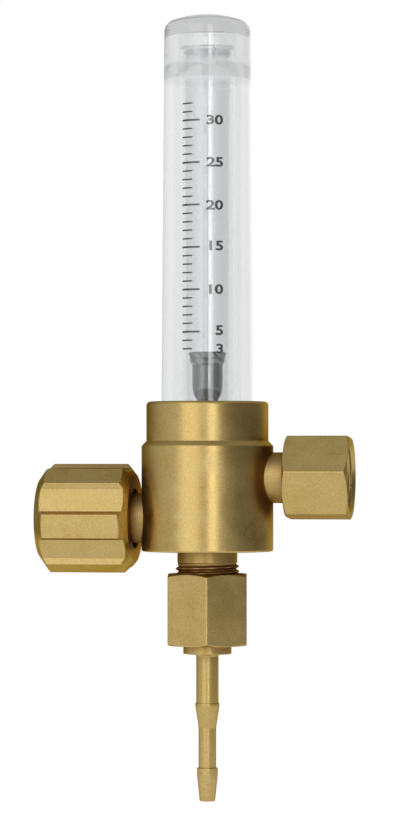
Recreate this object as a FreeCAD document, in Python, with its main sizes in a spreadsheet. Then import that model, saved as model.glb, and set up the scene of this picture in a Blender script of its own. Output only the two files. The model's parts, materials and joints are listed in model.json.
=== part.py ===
import FreeCAD, Part
import math
import os

import Sketcher

# Wall-mounted oxygen flowmeter: a turned brass body, a clear metering tube with
# a rising float under a clear domed cover, a needle valve with a fluted knob on
# the left, a union nut for the gas supply on the right and a hose tail below.
#
# Lengths are in millimetres and angles in degrees. The supply enters along +X,
# the tube stands along +Z and the scale looks towards -Y. The origin is the
# centre of the supply nut's thread. Heights are counted from the supply's axis,
# reaches from the body's own vertical axis.

doc = FreeCAD.newDocument("oxygen_flowmeter")
sheet = doc.addObject("Spreadsheet::Sheet", "Dims")

DIMENSIONS = [
    # How far a cut runs past the surface that it opens
    ("overcut", 1.0),
    # Turned brass body
    ("body_radius", 18.45),
    ("body_drop", 20.6),
    ("shoulder_height", 10.3),
    ("shoulder_drop", 1.4),
    ("collar_radius", 17.1),
    ("collar_top", 21.3),
    ("collar_round", 1.1),
    ("edge_break", 0.5),
    ("outlet_neck_radius", 8.4),
    ("outlet_neck_length", 3.2),
    ("outlet_thread_length", 11.6),
    ("outlet_bore_radius", 2.3),
    ("inlet_bore_radius", 2.6),
    ("thread_root_radius", 8.1),
    ("thread_chamfer", 0.6),
    ("transfer_hole_radius", 0.7),
    ("transfer_hole_reach", 8.9),
    # Clearances between pieces
    ("seat_clearance", 0.1),
    ("turning_clearance", 0.08),
    ("ring_clearance", 0.02),
    # Clear domed cover
    ("cover_foot_radius", 12.9),
    ("cover_top_radius", 12.1),
    ("cover_seat_depth", 9.8),
    ("crown_start", 1.5),
    ("crown_height", 4.2),
    ("crown_radius", 29.0),
    ("crown_corner_radius", 3.5),
    ("cover_bore_radius", 9.8),
    ("cover_cone_height", 4.2),
    ("cover_pocket_grip", 3.4),
    ("cover_pocket_room", 3.8),
    ("cover_ring_rise", 5.2),
    ("cover_ring_section", 1.8),
    # Clear metering tube
    ("tube_radius", 7.5),
    ("tube_foot_bore", 5.7),
    ("tube_top_bore", 6.4),
    ("tube_socket_depth", 3.6),
    ("tube_top_height", 97.6),
    ("tube_gasket_height", 1.2),
    ("port_width", 2.8),
    ("port_height", 4.2),
    ("port_rise", 1.9),
    ("port_turn", 35.0),
    # Float and its two stops
    ("float_head_radius", 5.18),
    ("float_upper_waist", 4.8),
    ("float_upper_height", 1.4),
    ("float_lower_radius", 5.0),
    ("float_lower_drop", 0.3),
    ("float_lower_waist", 4.6),
    ("float_head_height", 3.0),
    ("float_head_dome", 0.4),
    ("float_edge_break", 0.5),
    ("float_edge_drop", 0.15),
    ("float_step_height", 0.5),
    ("float_radius", 4.3),
    ("float_length", 15.8),
    ("float_nose_height", 5.8),
    ("float_nose_shoulder", 3.7),
    ("float_shoulder_radius", 3.85),
    ("float_nose_middle", 2.0),
    ("float_nose_radius", 2.75),
    ("float_foot_radius", 2.2),
    ("float_rest_drop", 1.9),
    ("float_notch_width", 0.7),
    ("float_notch_depth", 0.6),
    ("float_notch_lean", -50.0),
    ("rest_radius", 3.2),
    ("rest_bore_radius", 1.5),
    ("rest_base_height", 2.0),
    ("rest_slot_width", 1.4),
    ("rest_slot_depth", 2.4),
    ("stop_plug_length", 3.4),
    ("stop_flange_height", 1.2),
    ("stop_bore_radius", 2.0),
    ("stop_plug_taper", 0.2),
    # Supply nipple with its filter and seals
    ("inlet_pocket_depth", 2.85),
    ("nipple_thread_radius", 6.5),
    ("nipple_thread_length", 6.4),
    ("nipple_radius", 7.1),
    ("nipple_neck_length", 8.7),
    ("union_flange_radius", 7.95),
    ("nipple_flange_height", 3.5),
    ("nipple_bore_radius", 2.5),
    ("washer_height", 0.8),
    ("filter_radius", 4.2),
    ("filter_height", 2.2),
    ("inlet_seal_bore", 4.7),
    ("inlet_seal_radius", 7.5),
    ("inlet_seal_height", 1.2),
    # Union nuts
    ("nut_flats", 22.0),
    ("inlet_nut_length", 18.1),
    ("inlet_nut_wall", 2.7),
    ("outlet_nut_length", 20.0),
    ("outlet_nut_wall", 4.6),
    ("nut_thread_radius", 9.0),
    ("nut_relief_radius", 9.3),
    ("nut_relief_length", 4.9),
    ("nut_mouth_chamfer", 0.9),
    ("nut_face_radius", 11.1),
    ("nut_chamfer_slope", 0.42),
    ("inlet_nut_turn", 7.6),
    ("outlet_nut_turn", 8.3),
    # Hose tail
    ("tail_flange_height", 5.3),
    ("tail_seal_height", 1.6),
    ("tail_shoulder_radius", 6.75),
    ("tail_shoulder_length", 7.0),
    ("tail_fillet", 0.8),
    ("tail_stem_radius", 3.12),
    ("tail_stem_length", 13.8),
    ("upper_barb_radius", 3.38),
    ("upper_barb_land", 0.7),
    ("upper_barb_taper", 6.1),
    ("tail_waist_radius", 2.47),
    ("tail_waist_length", 11.3),
    ("lower_barb_radius", 2.9),
    ("lower_barb_land", 2.1),
    ("lower_barb_taper", 6.9),
    ("tail_tip_radius", 2.16),
    ("tail_tip_round", 0.3),
    ("tail_bore_radius", 1.4),
    # Needle valve
    ("valve_drop", 11.4),
    ("valve_pocket_depth", 3.05),
    ("chamber_radius", 4.6),
    ("chamber_start", 5.0),
    ("chamber_end", 10.2),
    ("valve_seat_radius", 3.1),
    ("valve_seat_height", 2.2),
    ("seat_passage_radius", 1.3),
    ("bonnet_radius", 7.0),
    ("bonnet_thread_radius", 6.1),
    ("bonnet_reach", 10.15),
    ("spindle_radius", 3.0),
    ("needle_tip_radius", 0.4),
    ("needle_root_radius", 1.5),
    ("needle_start", 2.6),
    ("needle_end", 6.4),
    ("spindle_collar_radius", 3.9),
    ("spindle_collar_length", 1.0),
    ("spindle_ring_start", 12.2),
    ("spindle_ring_section", 0.95),
    ("spindle_end_radius", 2.5),
    ("spindle_flat_height", 1.7),
    # Knob and its screw
    ("knob_gap", 2.0),
    ("knob_length", 26.9),
    ("knob_radius", 15.5),
    ("knob_end_radius", 11.2),
    ("knob_cone_length", 3.1),
    ("knob_back_radius", 12.4),
    ("knob_back_cone_length", 2.5),
    ("land_half_width", 3.3),
    ("floor_height", 13.7),
    ("floor_half_width", 3.29),
    ("land_turn", -8.0),
    ("knob_recess_radius", 8.3),
    ("knob_recess_depth", 9.0),
    ("knob_pocket_radius", 5.2),
    ("knob_pocket_depth", 4.2),
    ("screw_radius", 1.5),
    ("screw_length", 10.0),
    ("screw_head_radius", 3.4),
    ("screw_head_height", 2.2),
    ("screw_edge_break", 0.4),
    ("screw_socket_flats", 2.5),
    ("screw_socket_depth", 1.5),
    ("screw_socket_turn", 15.0),
    ("screw_washer_radius", 4.4),
    ("screw_washer_height", 0.8),
]

for row, (alias, value) in enumerate(DIMENSIONS, start=1):
    cell = "A%d" % row
    sheet.set(cell, str(value))
    sheet.setAlias(cell, alias)
doc.recompute()

ALIASES = [alias for alias, value in DIMENSIONS]
LANDS = 6
NOTCHES = 8
PORTS = 4
REST_SLOTS = 3


def at(words):
    """Writes an expression on the sheet: plain names become its cells."""
    parts = []
    for word in words.replace("(", "( ").replace(")", " )").split():
        parts.append("Dims." + word if word in ALIASES else word)
    return " ".join(parts)


def size(words):
    """The present value of such an expression."""
    return float(sheet.evalExpression(at(words)))


# Places that several pieces share, each said once in terms of the sheet
INLET_POCKET = "(body_radius - inlet_pocket_depth)"
NIPPLE_SHOULDER = "(" + INLET_POCKET + " + washer_height)"
NIPPLE_BACK = "(" + NIPPLE_SHOULDER + " + nipple_neck_length)"
NIPPLE_FACE = "(" + NIPPLE_BACK + " + nipple_flange_height)"
NUT_BACK = "(" + NIPPLE_BACK + " - inlet_nut_wall)"
THREAD_START = "(inlet_nut_wall + nut_relief_length)"
THREAD_END = "(inlet_nut_length - nut_mouth_chamfer)"
REACH = "(" + NUT_BACK + " + (" + THREAD_START + " + " + THREAD_END + ") / 2)"
COVER_FLOOR = "(collar_top - cover_seat_depth)"
TUBE_FLOOR = "(" + COVER_FLOOR + " - tube_socket_depth)"
TUBE_TOP = "(collar_top + tube_top_height)"
CONE_END = "(" + TUBE_TOP + " - cover_pocket_grip)"
CONE_START = "(" + CONE_END + " - cover_cone_height)"
POCKET_END = "(" + TUBE_TOP + " + stop_flange_height + cover_pocket_room)"
FLOAT_REST = "(collar_top - float_rest_drop)"
OUTLET_END = "(0 - body_drop - outlet_neck_length - outlet_thread_length)"
TAIL_TOP = "(" + OUTLET_END + " - tail_seal_height)"
TAIL_BACK = "(" + TAIL_TOP + " - tail_flange_height)"
TUBE_SOCKET_RADIUS = "(tube_radius + seat_clearance)"
COVER_SOCKET_RADIUS = "(cover_foot_radius + seat_clearance)"
VALVE_POCKET = "(body_radius - valve_pocket_depth)"
BONNET_SHOULDER = "(" + VALVE_POCKET + " + washer_height)"
BONNET_END = "(body_radius + bonnet_reach)"
BONNET_BORE = "(spindle_radius + turning_clearance)"
KNOB_START = "(body_radius + knob_gap)"
KNOB_SEAT = "(" + KNOB_START + " + knob_recess_depth)"
KNOB_END = "(" + KNOB_START + " + knob_length)"
SCREW_SEAT = "(" + KNOB_END + " - knob_pocket_depth)"
LAND_HEIGHT = "(sqrt(knob_radius ^ 2 - land_half_width ^ 2))"


def new_body(label, height="0"):
    """An empty piece on the body's vertical axis, at a height."""
    body = doc.addObject("PartDesign::Body", label)
    body.Label = label
    body.setExpression("Placement.Base.x", at("0 - " + REACH))
    body.setExpression("Placement.Base.z", at(height))
    return body


def origin_item(body, role):
    """One of the piece's own origin planes or axes."""
    return [item for item in body.Origin.OriginFeatures if item.Role == role][0]


def new_sketch(body, name, plane="XZ_Plane", lift=None, across=None, up=None):
    """A sketch on an origin plane, moved along its normal or in its plane."""
    sketch = body.newObject("Sketcher::SketchObject", name)
    sketch.AttachmentSupport = [(origin_item(body, plane), "")]
    sketch.MapMode = "FlatFace"
    for letter, words in (("x", across), ("y", up), ("z", lift)):
        if words is not None:
            sketch.setExpression("AttachmentOffset.Base." + letter, at(words))
    return sketch


def turn_sketch(sketch, words):
    """Turns a sketch about its own origin by an angle from the sheet."""
    sketch.AttachmentOffset = FreeCAD.Placement(
        FreeCAD.Vector(0, 0, 0), FreeCAD.Rotation(FreeCAD.Vector(0, 0, 1), 1)
    )
    sketch.setExpression("AttachmentOffset.Rotation.Angle", at(words))


def turn_body(body, words):
    """Turns a piece about its own upright axis by an angle from the sheet."""
    body.Placement.Rotation = FreeCAD.Rotation(FreeCAD.Vector(0, 0, 1), 1)
    body.setExpression("Placement.Rotation.Angle", at(words))


def outline(sketch, corners):
    """Draws a closed outline and ties every corner to the sheet.

    A corner is a pair of expressions, across and up. A third entry makes the
    edge to the next corner an arc of that radius, bulging to its right.
    """
    points = [FreeCAD.Vector(size(c[0]), size(c[1]), 0) for c in corners]
    starts = []
    for here, corner in enumerate(corners):
        first = points[here]
        last = points[(here + 1) % len(points)]
        if len(corner) == 2:
            sketch.addGeometry(Part.LineSegment(first, last), False)
            starts.append((1, 2))
            continue
        chord = last - first
        half = chord.Length / 2
        radius = size(corner[2])
        rise = radius - math.sqrt(radius**2 - half**2)
        side = FreeCAD.Vector(chord.y, -chord.x, 0).normalize()
        arc = Part.Arc(first, (first + last) * 0.5 + side * rise, last)
        number = sketch.addGeometry(arc, False)
        drawn = sketch.Geometry[number].StartPoint
        forward = drawn.distanceToPoint(first) < drawn.distanceToPoint(last)
        starts.append((1, 2) if forward else (2, 1))
        radius_tie = sketch.addConstraint(
            Sketcher.Constraint("Radius", number, radius)
        )
        sketch.setExpression("Constraints[%d]" % radius_tie, at(corner[2]))
    for here in range(len(corners)):
        after = (here + 1) % len(corners)
        sketch.addConstraint(
            Sketcher.Constraint(
                "Coincident", here, starts[here][1], after, starts[after][0]
            )
        )
    for here, corner in enumerate(corners):
        pin_point(sketch, here, starts[here][0], corner[0], corner[1])
    return sketch


def pin_point(sketch, edge, end, across, up):
    """Ties one point of a sketch to two expressions."""
    for kind, words, axis in (("DistanceX", across, -2), ("DistanceY", up, -1)):
        if words == "0":
            sketch.addConstraint(
                Sketcher.Constraint("PointOnObject", edge, end, axis)
            )
            continue
        tie = sketch.addConstraint(
            Sketcher.Constraint(kind, -1, 1, edge, end, size(words))
        )
        sketch.setExpression("Constraints[%d]" % tie, at(words))


def hexagon(sketch, flats, turn):
    """A hexagon by its width across the flats and the turn of a corner."""
    corner = flats + " / 2 / cos(30)"
    corners = []
    for number in range(6):
        angle = "(%s + %d)" % (turn, 60 * number)
        corners.append((corner + " * cos" + angle, corner + " * sin" + angle))
    return outline(sketch, corners)


def circle(sketch, across, up, radius):
    """A circle tied to the sheet by its centre and radius."""
    centre = FreeCAD.Vector(size(across), size(up), 0)
    upwards = FreeCAD.Vector(0, 0, 1)
    edge = sketch.addGeometry(Part.Circle(centre, upwards, size(radius)), False)
    pin_point(sketch, edge, 3, across, up)
    tie = sketch.addConstraint(Sketcher.Constraint("Radius", edge, size(radius)))
    sketch.setExpression("Constraints[%d]" % tie, at(radius))
    return sketch


def revolve(body, name, corners, axis="V_Axis", cut=False, **place):
    """Turns an outline about an axis of its sketch, as a lathe does."""
    sketch = outline(new_sketch(body, name + "_outline", **place), corners)
    kind = "PartDesign::Groove" if cut else "PartDesign::Revolution"
    feature = body.newObject(kind, name)
    feature.Profile = sketch
    feature.ReferenceAxis = (sketch, [axis])
    feature.Angle = 360
    return feature


def pocket(body, name, sketch, length=None, both_ways=False, reverse=False):
    """Cuts a sketch into the piece, through it all or to a depth."""
    feature = body.newObject("PartDesign::Pocket", name)
    feature.Profile = sketch
    if length is None:
        feature.Type = "ThroughAll"
    else:
        feature.Type = "Length"
        feature.setExpression("Length", at(length))
    if both_ways:
        feature.SideType = "Symmetric"
    feature.Reversed = reverse
    return feature


def repeat(body, name, feature, axis, count):
    """Repeats a feature evenly round an axis of the piece."""
    pattern = body.newObject("PartDesign::PolarPattern", name)
    pattern.Originals = [feature]
    pattern.Axis = (origin_item(body, axis), [""])
    pattern.Angle = 360
    pattern.Occurrences = count
    body.Tip = pattern
    return pattern


def round_edges(body, name, radius, wanted):
    """Fillets the edges of the last feature that a test picks out."""
    doc.recompute()
    tip = body.Tip
    edges = [
        "Edge%d" % (number + 1)
        for number, edge in enumerate(tip.Shape.Edges)
        if wanted(edge)
    ]
    fillet = body.newObject("PartDesign::Fillet", name)
    fillet.Base = (tip, edges)
    fillet.setExpression("Radius", at(radius))
    return fillet


def rim(axis, radius, place):
    """A test for a full circle of that radius, at that place on an axis."""

    def test(edge):
        if edge.Degenerated or not isinstance(edge.Curve, Part.Circle):
            return False
        curve = edge.Curve
        along = getattr(curve.Center, axis)
        near = abs(along - size(place)) < 0.01
        return near and abs(curve.Radius - size(radius)) < 0.01

    return test


def ring(label, inner, outer, low, high, axis="V_Axis", height="0"):
    """A flat washer or gasket."""
    body = new_body(label, height)
    corners = [(inner, low), (outer, low), (outer, high), (inner, high)]
    if axis == "H_Axis":
        corners = [(up, across) for across, up in reversed(corners)]
    revolve(body, "turned", corners, axis)
    return body


def round_ring(label, centre, section, place, axis="V_Axis", height="0"):
    """A rubber O-ring: a round section carried about an axis."""
    body = new_body(label, height)
    sketch = new_sketch(body, "section")
    if axis == "V_Axis":
        circle(sketch, centre, place, section + " / 2")
    else:
        circle(sketch, place, centre, section + " / 2")
    feature = body.newObject("PartDesign::Revolution", "moulded")
    feature.Profile = sketch
    feature.ReferenceAxis = (sketch, [axis])
    feature.Angle = 360
    return body


def face_left(body):
    """Turns a piece that is drawn along +X to lie along -X."""
    upwards = FreeCAD.Vector(0, 0, 1)
    body.Placement.Rotation = FreeCAD.Rotation(upwards, 180)


def make_body():
    """The turned brass body with its sockets, passages and outlet thread."""
    body = new_body("body")
    neck_end = "0 - body_drop - outlet_neck_length"
    revolve(
        body,
        "turned_bar",
        [
            ("0", OUTLET_END),
            ("thread_root_radius - thread_chamfer", OUTLET_END),
            ("thread_root_radius", OUTLET_END + " + thread_chamfer"),
            ("thread_root_radius", neck_end),
            ("outlet_neck_radius", neck_end),
            ("outlet_neck_radius", "0 - body_drop"),
            ("body_radius - edge_break", "0 - body_drop"),
            ("body_radius", "0 - body_drop + edge_break"),
            ("body_radius", "shoulder_height - shoulder_drop"),
            ("collar_radius", "shoulder_height"),
            ("collar_radius", "collar_top"),
            ("0", "collar_top"),
        ],
    )
    round_edges(
        body, "collar_rim", "collar_round", rim("z", "collar_radius", "collar_top")
    )
    revolve(
        body,
        "tube_sockets",
        [
            ("0", "0 - inlet_bore_radius"),
            ("inlet_bore_radius", "0 - inlet_bore_radius"),
            ("inlet_bore_radius", TUBE_FLOOR),
            (TUBE_SOCKET_RADIUS, TUBE_FLOOR),
            (TUBE_SOCKET_RADIUS, COVER_FLOOR),
            (COVER_SOCKET_RADIUS, COVER_FLOOR),
            (COVER_SOCKET_RADIUS, "collar_top + overcut"),
            ("0", "collar_top + overcut"),
        ],
        cut=True,
    )
    revolve(
        body,
        "outlet_bore",
        [
            ("0", OUTLET_END + " - overcut"),
            ("outlet_bore_radius", OUTLET_END + " - overcut"),
            ("outlet_bore_radius", "0 - valve_drop + outlet_bore_radius"),
            ("0", "0 - valve_drop + outlet_bore_radius"),
        ],
        cut=True,
    )
    port_end = NIPPLE_SHOULDER + " - nipple_thread_length - seat_clearance"
    port_radius = "nipple_thread_radius + seat_clearance"
    pocket_radius = "nipple_radius + seat_clearance"
    revolve(
        body,
        "inlet_port",
        [
            ("0", "0"),
            ("body_radius + overcut", "0"),
            ("body_radius + overcut", pocket_radius),
            (INLET_POCKET, pocket_radius),
            (INLET_POCKET, port_radius),
            (port_end, port_radius),
            (port_end, "inlet_bore_radius"),
            ("0", "inlet_bore_radius"),
        ],
        axis="H_Axis",
        cut=True,
    )
    bonnet_bore = "bonnet_thread_radius + seat_clearance"
    seat_floor = "0 - chamber_start + valve_seat_height"
    revolve(
        body,
        "valve_port",
        [
            ("0", "0"),
            ("0", "seat_passage_radius"),
            (seat_floor, "seat_passage_radius"),
            (seat_floor, "valve_seat_radius"),
            ("0 - chamber_start", "valve_seat_radius"),
            ("0 - chamber_start", "chamber_radius"),
            ("0 - chamber_end", "chamber_radius"),
            ("0 - chamber_end", bonnet_bore),
            ("0 - " + VALVE_POCKET, bonnet_bore),
            ("0 - " + VALVE_POCKET, "bonnet_radius + seat_clearance"),
            ("0 - body_radius - overcut", "bonnet_radius + seat_clearance"),
            ("0 - body_radius - overcut", "0"),
        ],
        axis="H_Axis",
        cut=True,
        up="0 - valve_drop",
    )
    sketch = new_sketch(body, "transfer_circle", "XY_Plane", lift=COVER_FLOOR)
    circle(sketch, "0 - transfer_hole_reach", "0", "transfer_hole_radius")
    pocket(body, "transfer_hole", sketch, COVER_FLOOR + " + valve_drop")
    return body


def make_cover():
    """The clear moulded cover: slight draft, thick crown, pocket for the tube."""
    body = new_body("cover_tube")
    side_top = POCKET_END + " + crown_start"
    revolve(
        body,
        "moulding",
        [
            ("cover_bore_radius", COVER_FLOOR),
            ("cover_foot_radius", COVER_FLOOR),
            ("cover_foot_radius", "collar_top"),
            ("cover_top_radius", side_top, "crown_radius"),
            ("0", side_top + " + crown_height"),
            ("0", POCKET_END),
            (TUBE_SOCKET_RADIUS, POCKET_END),
            (TUBE_SOCKET_RADIUS, CONE_END),
            ("cover_bore_radius", CONE_START),
        ],
    )
    round_edges(
        body,
        "crown_corner",
        "crown_corner_radius",
        rim("z", "cover_top_radius", side_top),
    )
    groove_floor = "cover_foot_radius - cover_ring_section + ring_clearance"
    groove_low = COVER_FLOOR + " + cover_ring_rise - cover_ring_section / 2"
    groove_high = COVER_FLOOR + " + cover_ring_rise + cover_ring_section / 2"
    revolve(
        body,
        "ring_groove",
        [
            (groove_floor, groove_low + " - ring_clearance"),
            ("cover_foot_radius + overcut", groove_low + " - ring_clearance"),
            ("cover_foot_radius + overcut", groove_high + " + ring_clearance"),
            (groove_floor, groove_high + " + ring_clearance"),
        ],
        cut=True,
    )
    return body


def make_cover_ring():
    """The O-ring that seals the cover in the collar."""
    centre = "cover_foot_radius + seat_clearance - cover_ring_section / 2"
    rise = COVER_FLOOR + " + cover_ring_rise"
    return round_ring("cover_o_ring", centre, "cover_ring_section", rise)


def make_metering_tube():
    """The clear tube whose bore widens upwards, with four gas ports."""
    body = new_body("metering_tube")
    foot = TUBE_FLOOR + " + tube_gasket_height"
    revolve(
        body,
        "drawn_tube",
        [
            ("tube_foot_bore", foot),
            ("tube_radius", foot),
            ("tube_radius", TUBE_TOP),
            ("tube_top_bore", TUBE_TOP),
        ],
    )
    sketch = new_sketch(body, "port_outline")
    middle = CONE_START + " + port_rise"
    low = middle + " - port_height / 2"
    high = middle + " + port_height / 2"
    outline(
        sketch,
        [
            ("0 - port_width / 2", low),
            ("port_width / 2", low),
            ("port_width / 2", high),
            ("0 - port_width / 2", high),
        ],
    )
    port = pocket(body, "port", sketch, "tube_radius + overcut")
    repeat(body, "ports", port, "Z_Axis", PORTS)
    turn_body(body, "port_turn")
    return body


def make_float():
    """The turned float: notched head, straight skirt and rounded nose."""
    body = new_body("float")
    top = FLOAT_REST + " + float_length"
    head_edge = top + " - float_head_dome"
    upper_foot = head_edge + " - float_upper_height"
    head_foot = head_edge + " - float_head_height"
    revolve(
        body,
        "turned",
        [
            ("0", FLOAT_REST),
            ("float_foot_radius", FLOAT_REST),
            ("float_nose_radius", FLOAT_REST + " + float_nose_middle"),
            ("float_shoulder_radius", FLOAT_REST + " + float_nose_shoulder"),
            ("float_radius", FLOAT_REST + " + float_nose_height"),
            ("float_radius", head_foot + " - float_step_height"),
            ("float_lower_waist", head_foot),
            ("float_lower_radius", upper_foot + " - float_lower_drop"),
            ("float_upper_waist", upper_foot),
            ("float_head_radius", head_edge),
            ("float_head_radius - float_edge_break", top + " - float_edge_drop"),
            ("0", top),
        ],
    )
    sketch = new_sketch(
        body,
        "notch_outline",
        lift="0 - float_head_radius + float_notch_depth",
        up=head_foot + " + float_head_height / 2",
    )
    half = "float_notch_width / 2"
    lean = "( tan(float_notch_lean) * float_head_height )"
    outline(
        sketch,
        [
            ("0 - " + half + " - " + lean, "0 - float_head_height"),
            (half + " - " + lean, "0 - float_head_height"),
            (half + " + " + lean, "float_head_height"),
            ("0 - " + half + " + " + lean, "float_head_height"),
        ],
    )
    notch = pocket(body, "notch", sketch, "float_head_radius")
    repeat(body, "notches", notch, "Z_Axis", NOTCHES)
    return body


def make_float_rest():
    """The slotted brass post that carries the float when no gas flows."""
    body = new_body("float_rest")
    base_top = TUBE_FLOOR + " + rest_base_height"
    base_radius = "tube_foot_bore - seat_clearance"
    revolve(
        body,
        "turned",
        [
            ("rest_bore_radius", TUBE_FLOOR),
            (base_radius, TUBE_FLOOR),
            (base_radius, base_top),
            ("rest_radius", base_top),
            ("rest_radius", FLOAT_REST),
            ("rest_bore_radius", FLOAT_REST),
        ],
    )
    sketch = new_sketch(body, "slot_outline")
    outline(
        sketch,
        [
            ("0 - rest_slot_width / 2", FLOAT_REST + " - rest_slot_depth"),
            ("rest_slot_width / 2", FLOAT_REST + " - rest_slot_depth"),
            ("rest_slot_width / 2", FLOAT_REST + " + overcut"),
            ("0 - rest_slot_width / 2", FLOAT_REST + " + overcut"),
        ],
    )
    slot = pocket(body, "slot", sketch, "rest_radius + overcut")
    repeat(body, "slots", slot, "Z_Axis", REST_SLOTS)
    return body


def make_float_stop():
    """The plastic plug in the tube's top that ends the float's climb."""
    body = new_body("float_stop")
    plug_radius = "tube_top_bore - 2 * seat_clearance"
    plug_foot = TUBE_TOP + " - stop_plug_length"
    flange_top = TUBE_TOP + " + stop_flange_height"
    revolve(
        body,
        "moulding",
        [
            ("stop_bore_radius", plug_foot),
            (plug_radius + " - stop_plug_taper", plug_foot),
            (plug_radius, TUBE_TOP),
            ("tube_radius - seat_clearance", TUBE_TOP),
            ("tube_radius - seat_clearance", flange_top),
            ("stop_bore_radius", flange_top),
        ],
    )
    return body


def make_nipple():
    """The brass supply nipple: thread, neck, flange and filter pocket."""
    body = new_body("inlet_nipple")
    thread_start = NIPPLE_SHOULDER + " - nipple_thread_length"
    filter_floor = NIPPLE_FACE + " - filter_height"
    filter_radius = "filter_radius + seat_clearance"
    revolve(
        body,
        "turned",
        [
            (thread_start, "nipple_bore_radius"),
            (filter_floor, "nipple_bore_radius"),
            (filter_floor, filter_radius),
            (NIPPLE_FACE, filter_radius),
            (NIPPLE_FACE, "union_flange_radius"),
            (NIPPLE_BACK, "union_flange_radius"),
            (NIPPLE_BACK, "nipple_radius"),
            (NIPPLE_SHOULDER, "nipple_radius"),
            (NIPPLE_SHOULDER, "nipple_thread_radius"),
            (thread_start, "nipple_thread_radius"),
        ],
        axis="H_Axis",
    )
    return body


def make_nut(label, turn, rotation, height):
    """A hexagon union nut, drawn from its end wall up to its open mouth."""
    body = new_body(label, height)
    length = label + "_length"
    wall = label + "_wall"
    thread_start = wall + " + nut_relief_length"
    bar = body.newObject("PartDesign::Pad", "hexagon_bar")
    bar.Profile = hexagon(new_sketch(body, "hexagon", "XY_Plane"), "nut_flats", turn)
    bar.setExpression("Length", at(length))
    doc.recompute()
    beyond = "nut_flats"
    fall = "( nut_flats - nut_face_radius ) * nut_chamfer_slope"
    revolve(
        body,
        "mouth_chamfer",
        [
            ("nut_face_radius", length),
            (beyond, length + " - " + fall),
            (beyond, length + " + overcut"),
            ("nut_face_radius", length + " + overcut"),
        ],
        cut=True,
    )
    revolve(
        body,
        "back_chamfer",
        [
            ("nut_face_radius", "0"),
            ("nut_face_radius", "0 - overcut"),
            (beyond, "0 - overcut"),
            (beyond, fall),
        ],
        cut=True,
    )
    hole = "nipple_radius" if label == "inlet_nut" else "tail_shoulder_radius"
    revolve(
        body,
        "thread_bore",
        [
            ("0", "0 - overcut"),
            (hole + " + turning_clearance", "0 - overcut"),
            (hole + " + turning_clearance", wall),
            ("nut_relief_radius", wall),
            ("nut_relief_radius", thread_start),
            ("nut_thread_radius", thread_start),
            ("nut_thread_radius", length + " - nut_mouth_chamfer"),
            ("nut_thread_radius + nut_mouth_chamfer + overcut", length + " + overcut"),
            ("0", length + " + overcut"),
        ],
        cut=True,
    )
    body.Placement.Rotation = rotation
    return body


def make_nuts():
    """The supply nut opens towards +X, the outlet nut opens upwards."""
    sideways = FreeCAD.Rotation(FreeCAD.Vector(0, 1, 0), 90)
    inlet = make_nut("inlet_nut", "270 - inlet_nut_turn", sideways, "0")
    inlet.setExpression("Placement.Base.x", at(NUT_BACK + " - " + REACH))
    upright = FreeCAD.Rotation()
    foot = TAIL_BACK + " - outlet_nut_wall"
    make_nut("outlet_nut", "outlet_nut_turn + 30", upright, foot)


def make_hose_tail():
    """The brass hose tail: flange, shoulder, stem and two barbs."""
    body = new_body("hose_tail")
    shoulder = TAIL_BACK + " - tail_shoulder_length"
    upper = shoulder + " - tail_stem_length"
    upper_end = upper + " - upper_barb_land"
    waist = upper_end + " - upper_barb_taper"
    lower = waist + " - tail_waist_length"
    lower_end = lower + " - lower_barb_land"
    tip = lower_end + " - lower_barb_taper"
    end = tip + " - tail_tip_round"
    revolve(
        body,
        "turned",
        [
            ("tail_bore_radius", TAIL_TOP),
            ("tail_bore_radius", end),
            ("tail_tip_radius - tail_tip_round", end),
            ("tail_tip_radius", tip),
            ("lower_barb_radius", lower_end),
            ("lower_barb_radius", lower),
            ("tail_waist_radius", lower),
            ("tail_waist_radius", waist),
            ("upper_barb_radius", upper_end),
            ("upper_barb_radius", upper),
            ("tail_stem_radius", upper),
            ("tail_stem_radius", shoulder),
            ("tail_shoulder_radius", shoulder),
            ("tail_shoulder_radius", TAIL_BACK),
            ("union_flange_radius", TAIL_BACK),
            ("union_flange_radius", TAIL_TOP),
        ],
    )
    round_edges(
        body, "stem_fillet", "tail_fillet", rim("z", "tail_stem_radius", shoulder)
    )
    return body


def make_valve_seat():
    """The pressed-in seat whose cone the needle closes."""
    body = new_body("valve_seat", "0 - valve_drop")
    back = "chamber_start - valve_seat_height"
    slope = "(needle_root_radius - needle_tip_radius) / (needle_end - needle_start)"
    reach = "(chamber_start - needle_start)"
    mouth = "needle_tip_radius + turning_clearance + " + reach + " * " + slope
    throat = mouth + " - valve_seat_height * " + slope
    revolve(
        body,
        "turned",
        [
            (back, throat),
            ("chamber_start", mouth),
            ("chamber_start", "valve_seat_radius - ring_clearance"),
            (back, "valve_seat_radius - ring_clearance"),
        ],
        axis="H_Axis",
    )
    face_left(body)
    return body


def make_bonnet():
    """The brass bonnet that guides the spindle and closes the valve."""
    body = new_body("bonnet", "0 - valve_drop")
    inner_end = "chamber_end + seat_clearance"
    revolve(
        body,
        "turned",
        [
            (inner_end, BONNET_BORE),
            (BONNET_END, BONNET_BORE),
            (BONNET_END, "bonnet_radius - edge_break"),
            (BONNET_END + " - edge_break", "bonnet_radius"),
            (BONNET_SHOULDER, "bonnet_radius"),
            (BONNET_SHOULDER, "bonnet_thread_radius"),
            (inner_end, "bonnet_thread_radius"),
        ],
        axis="H_Axis",
    )
    face_left(body)
    return body


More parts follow.
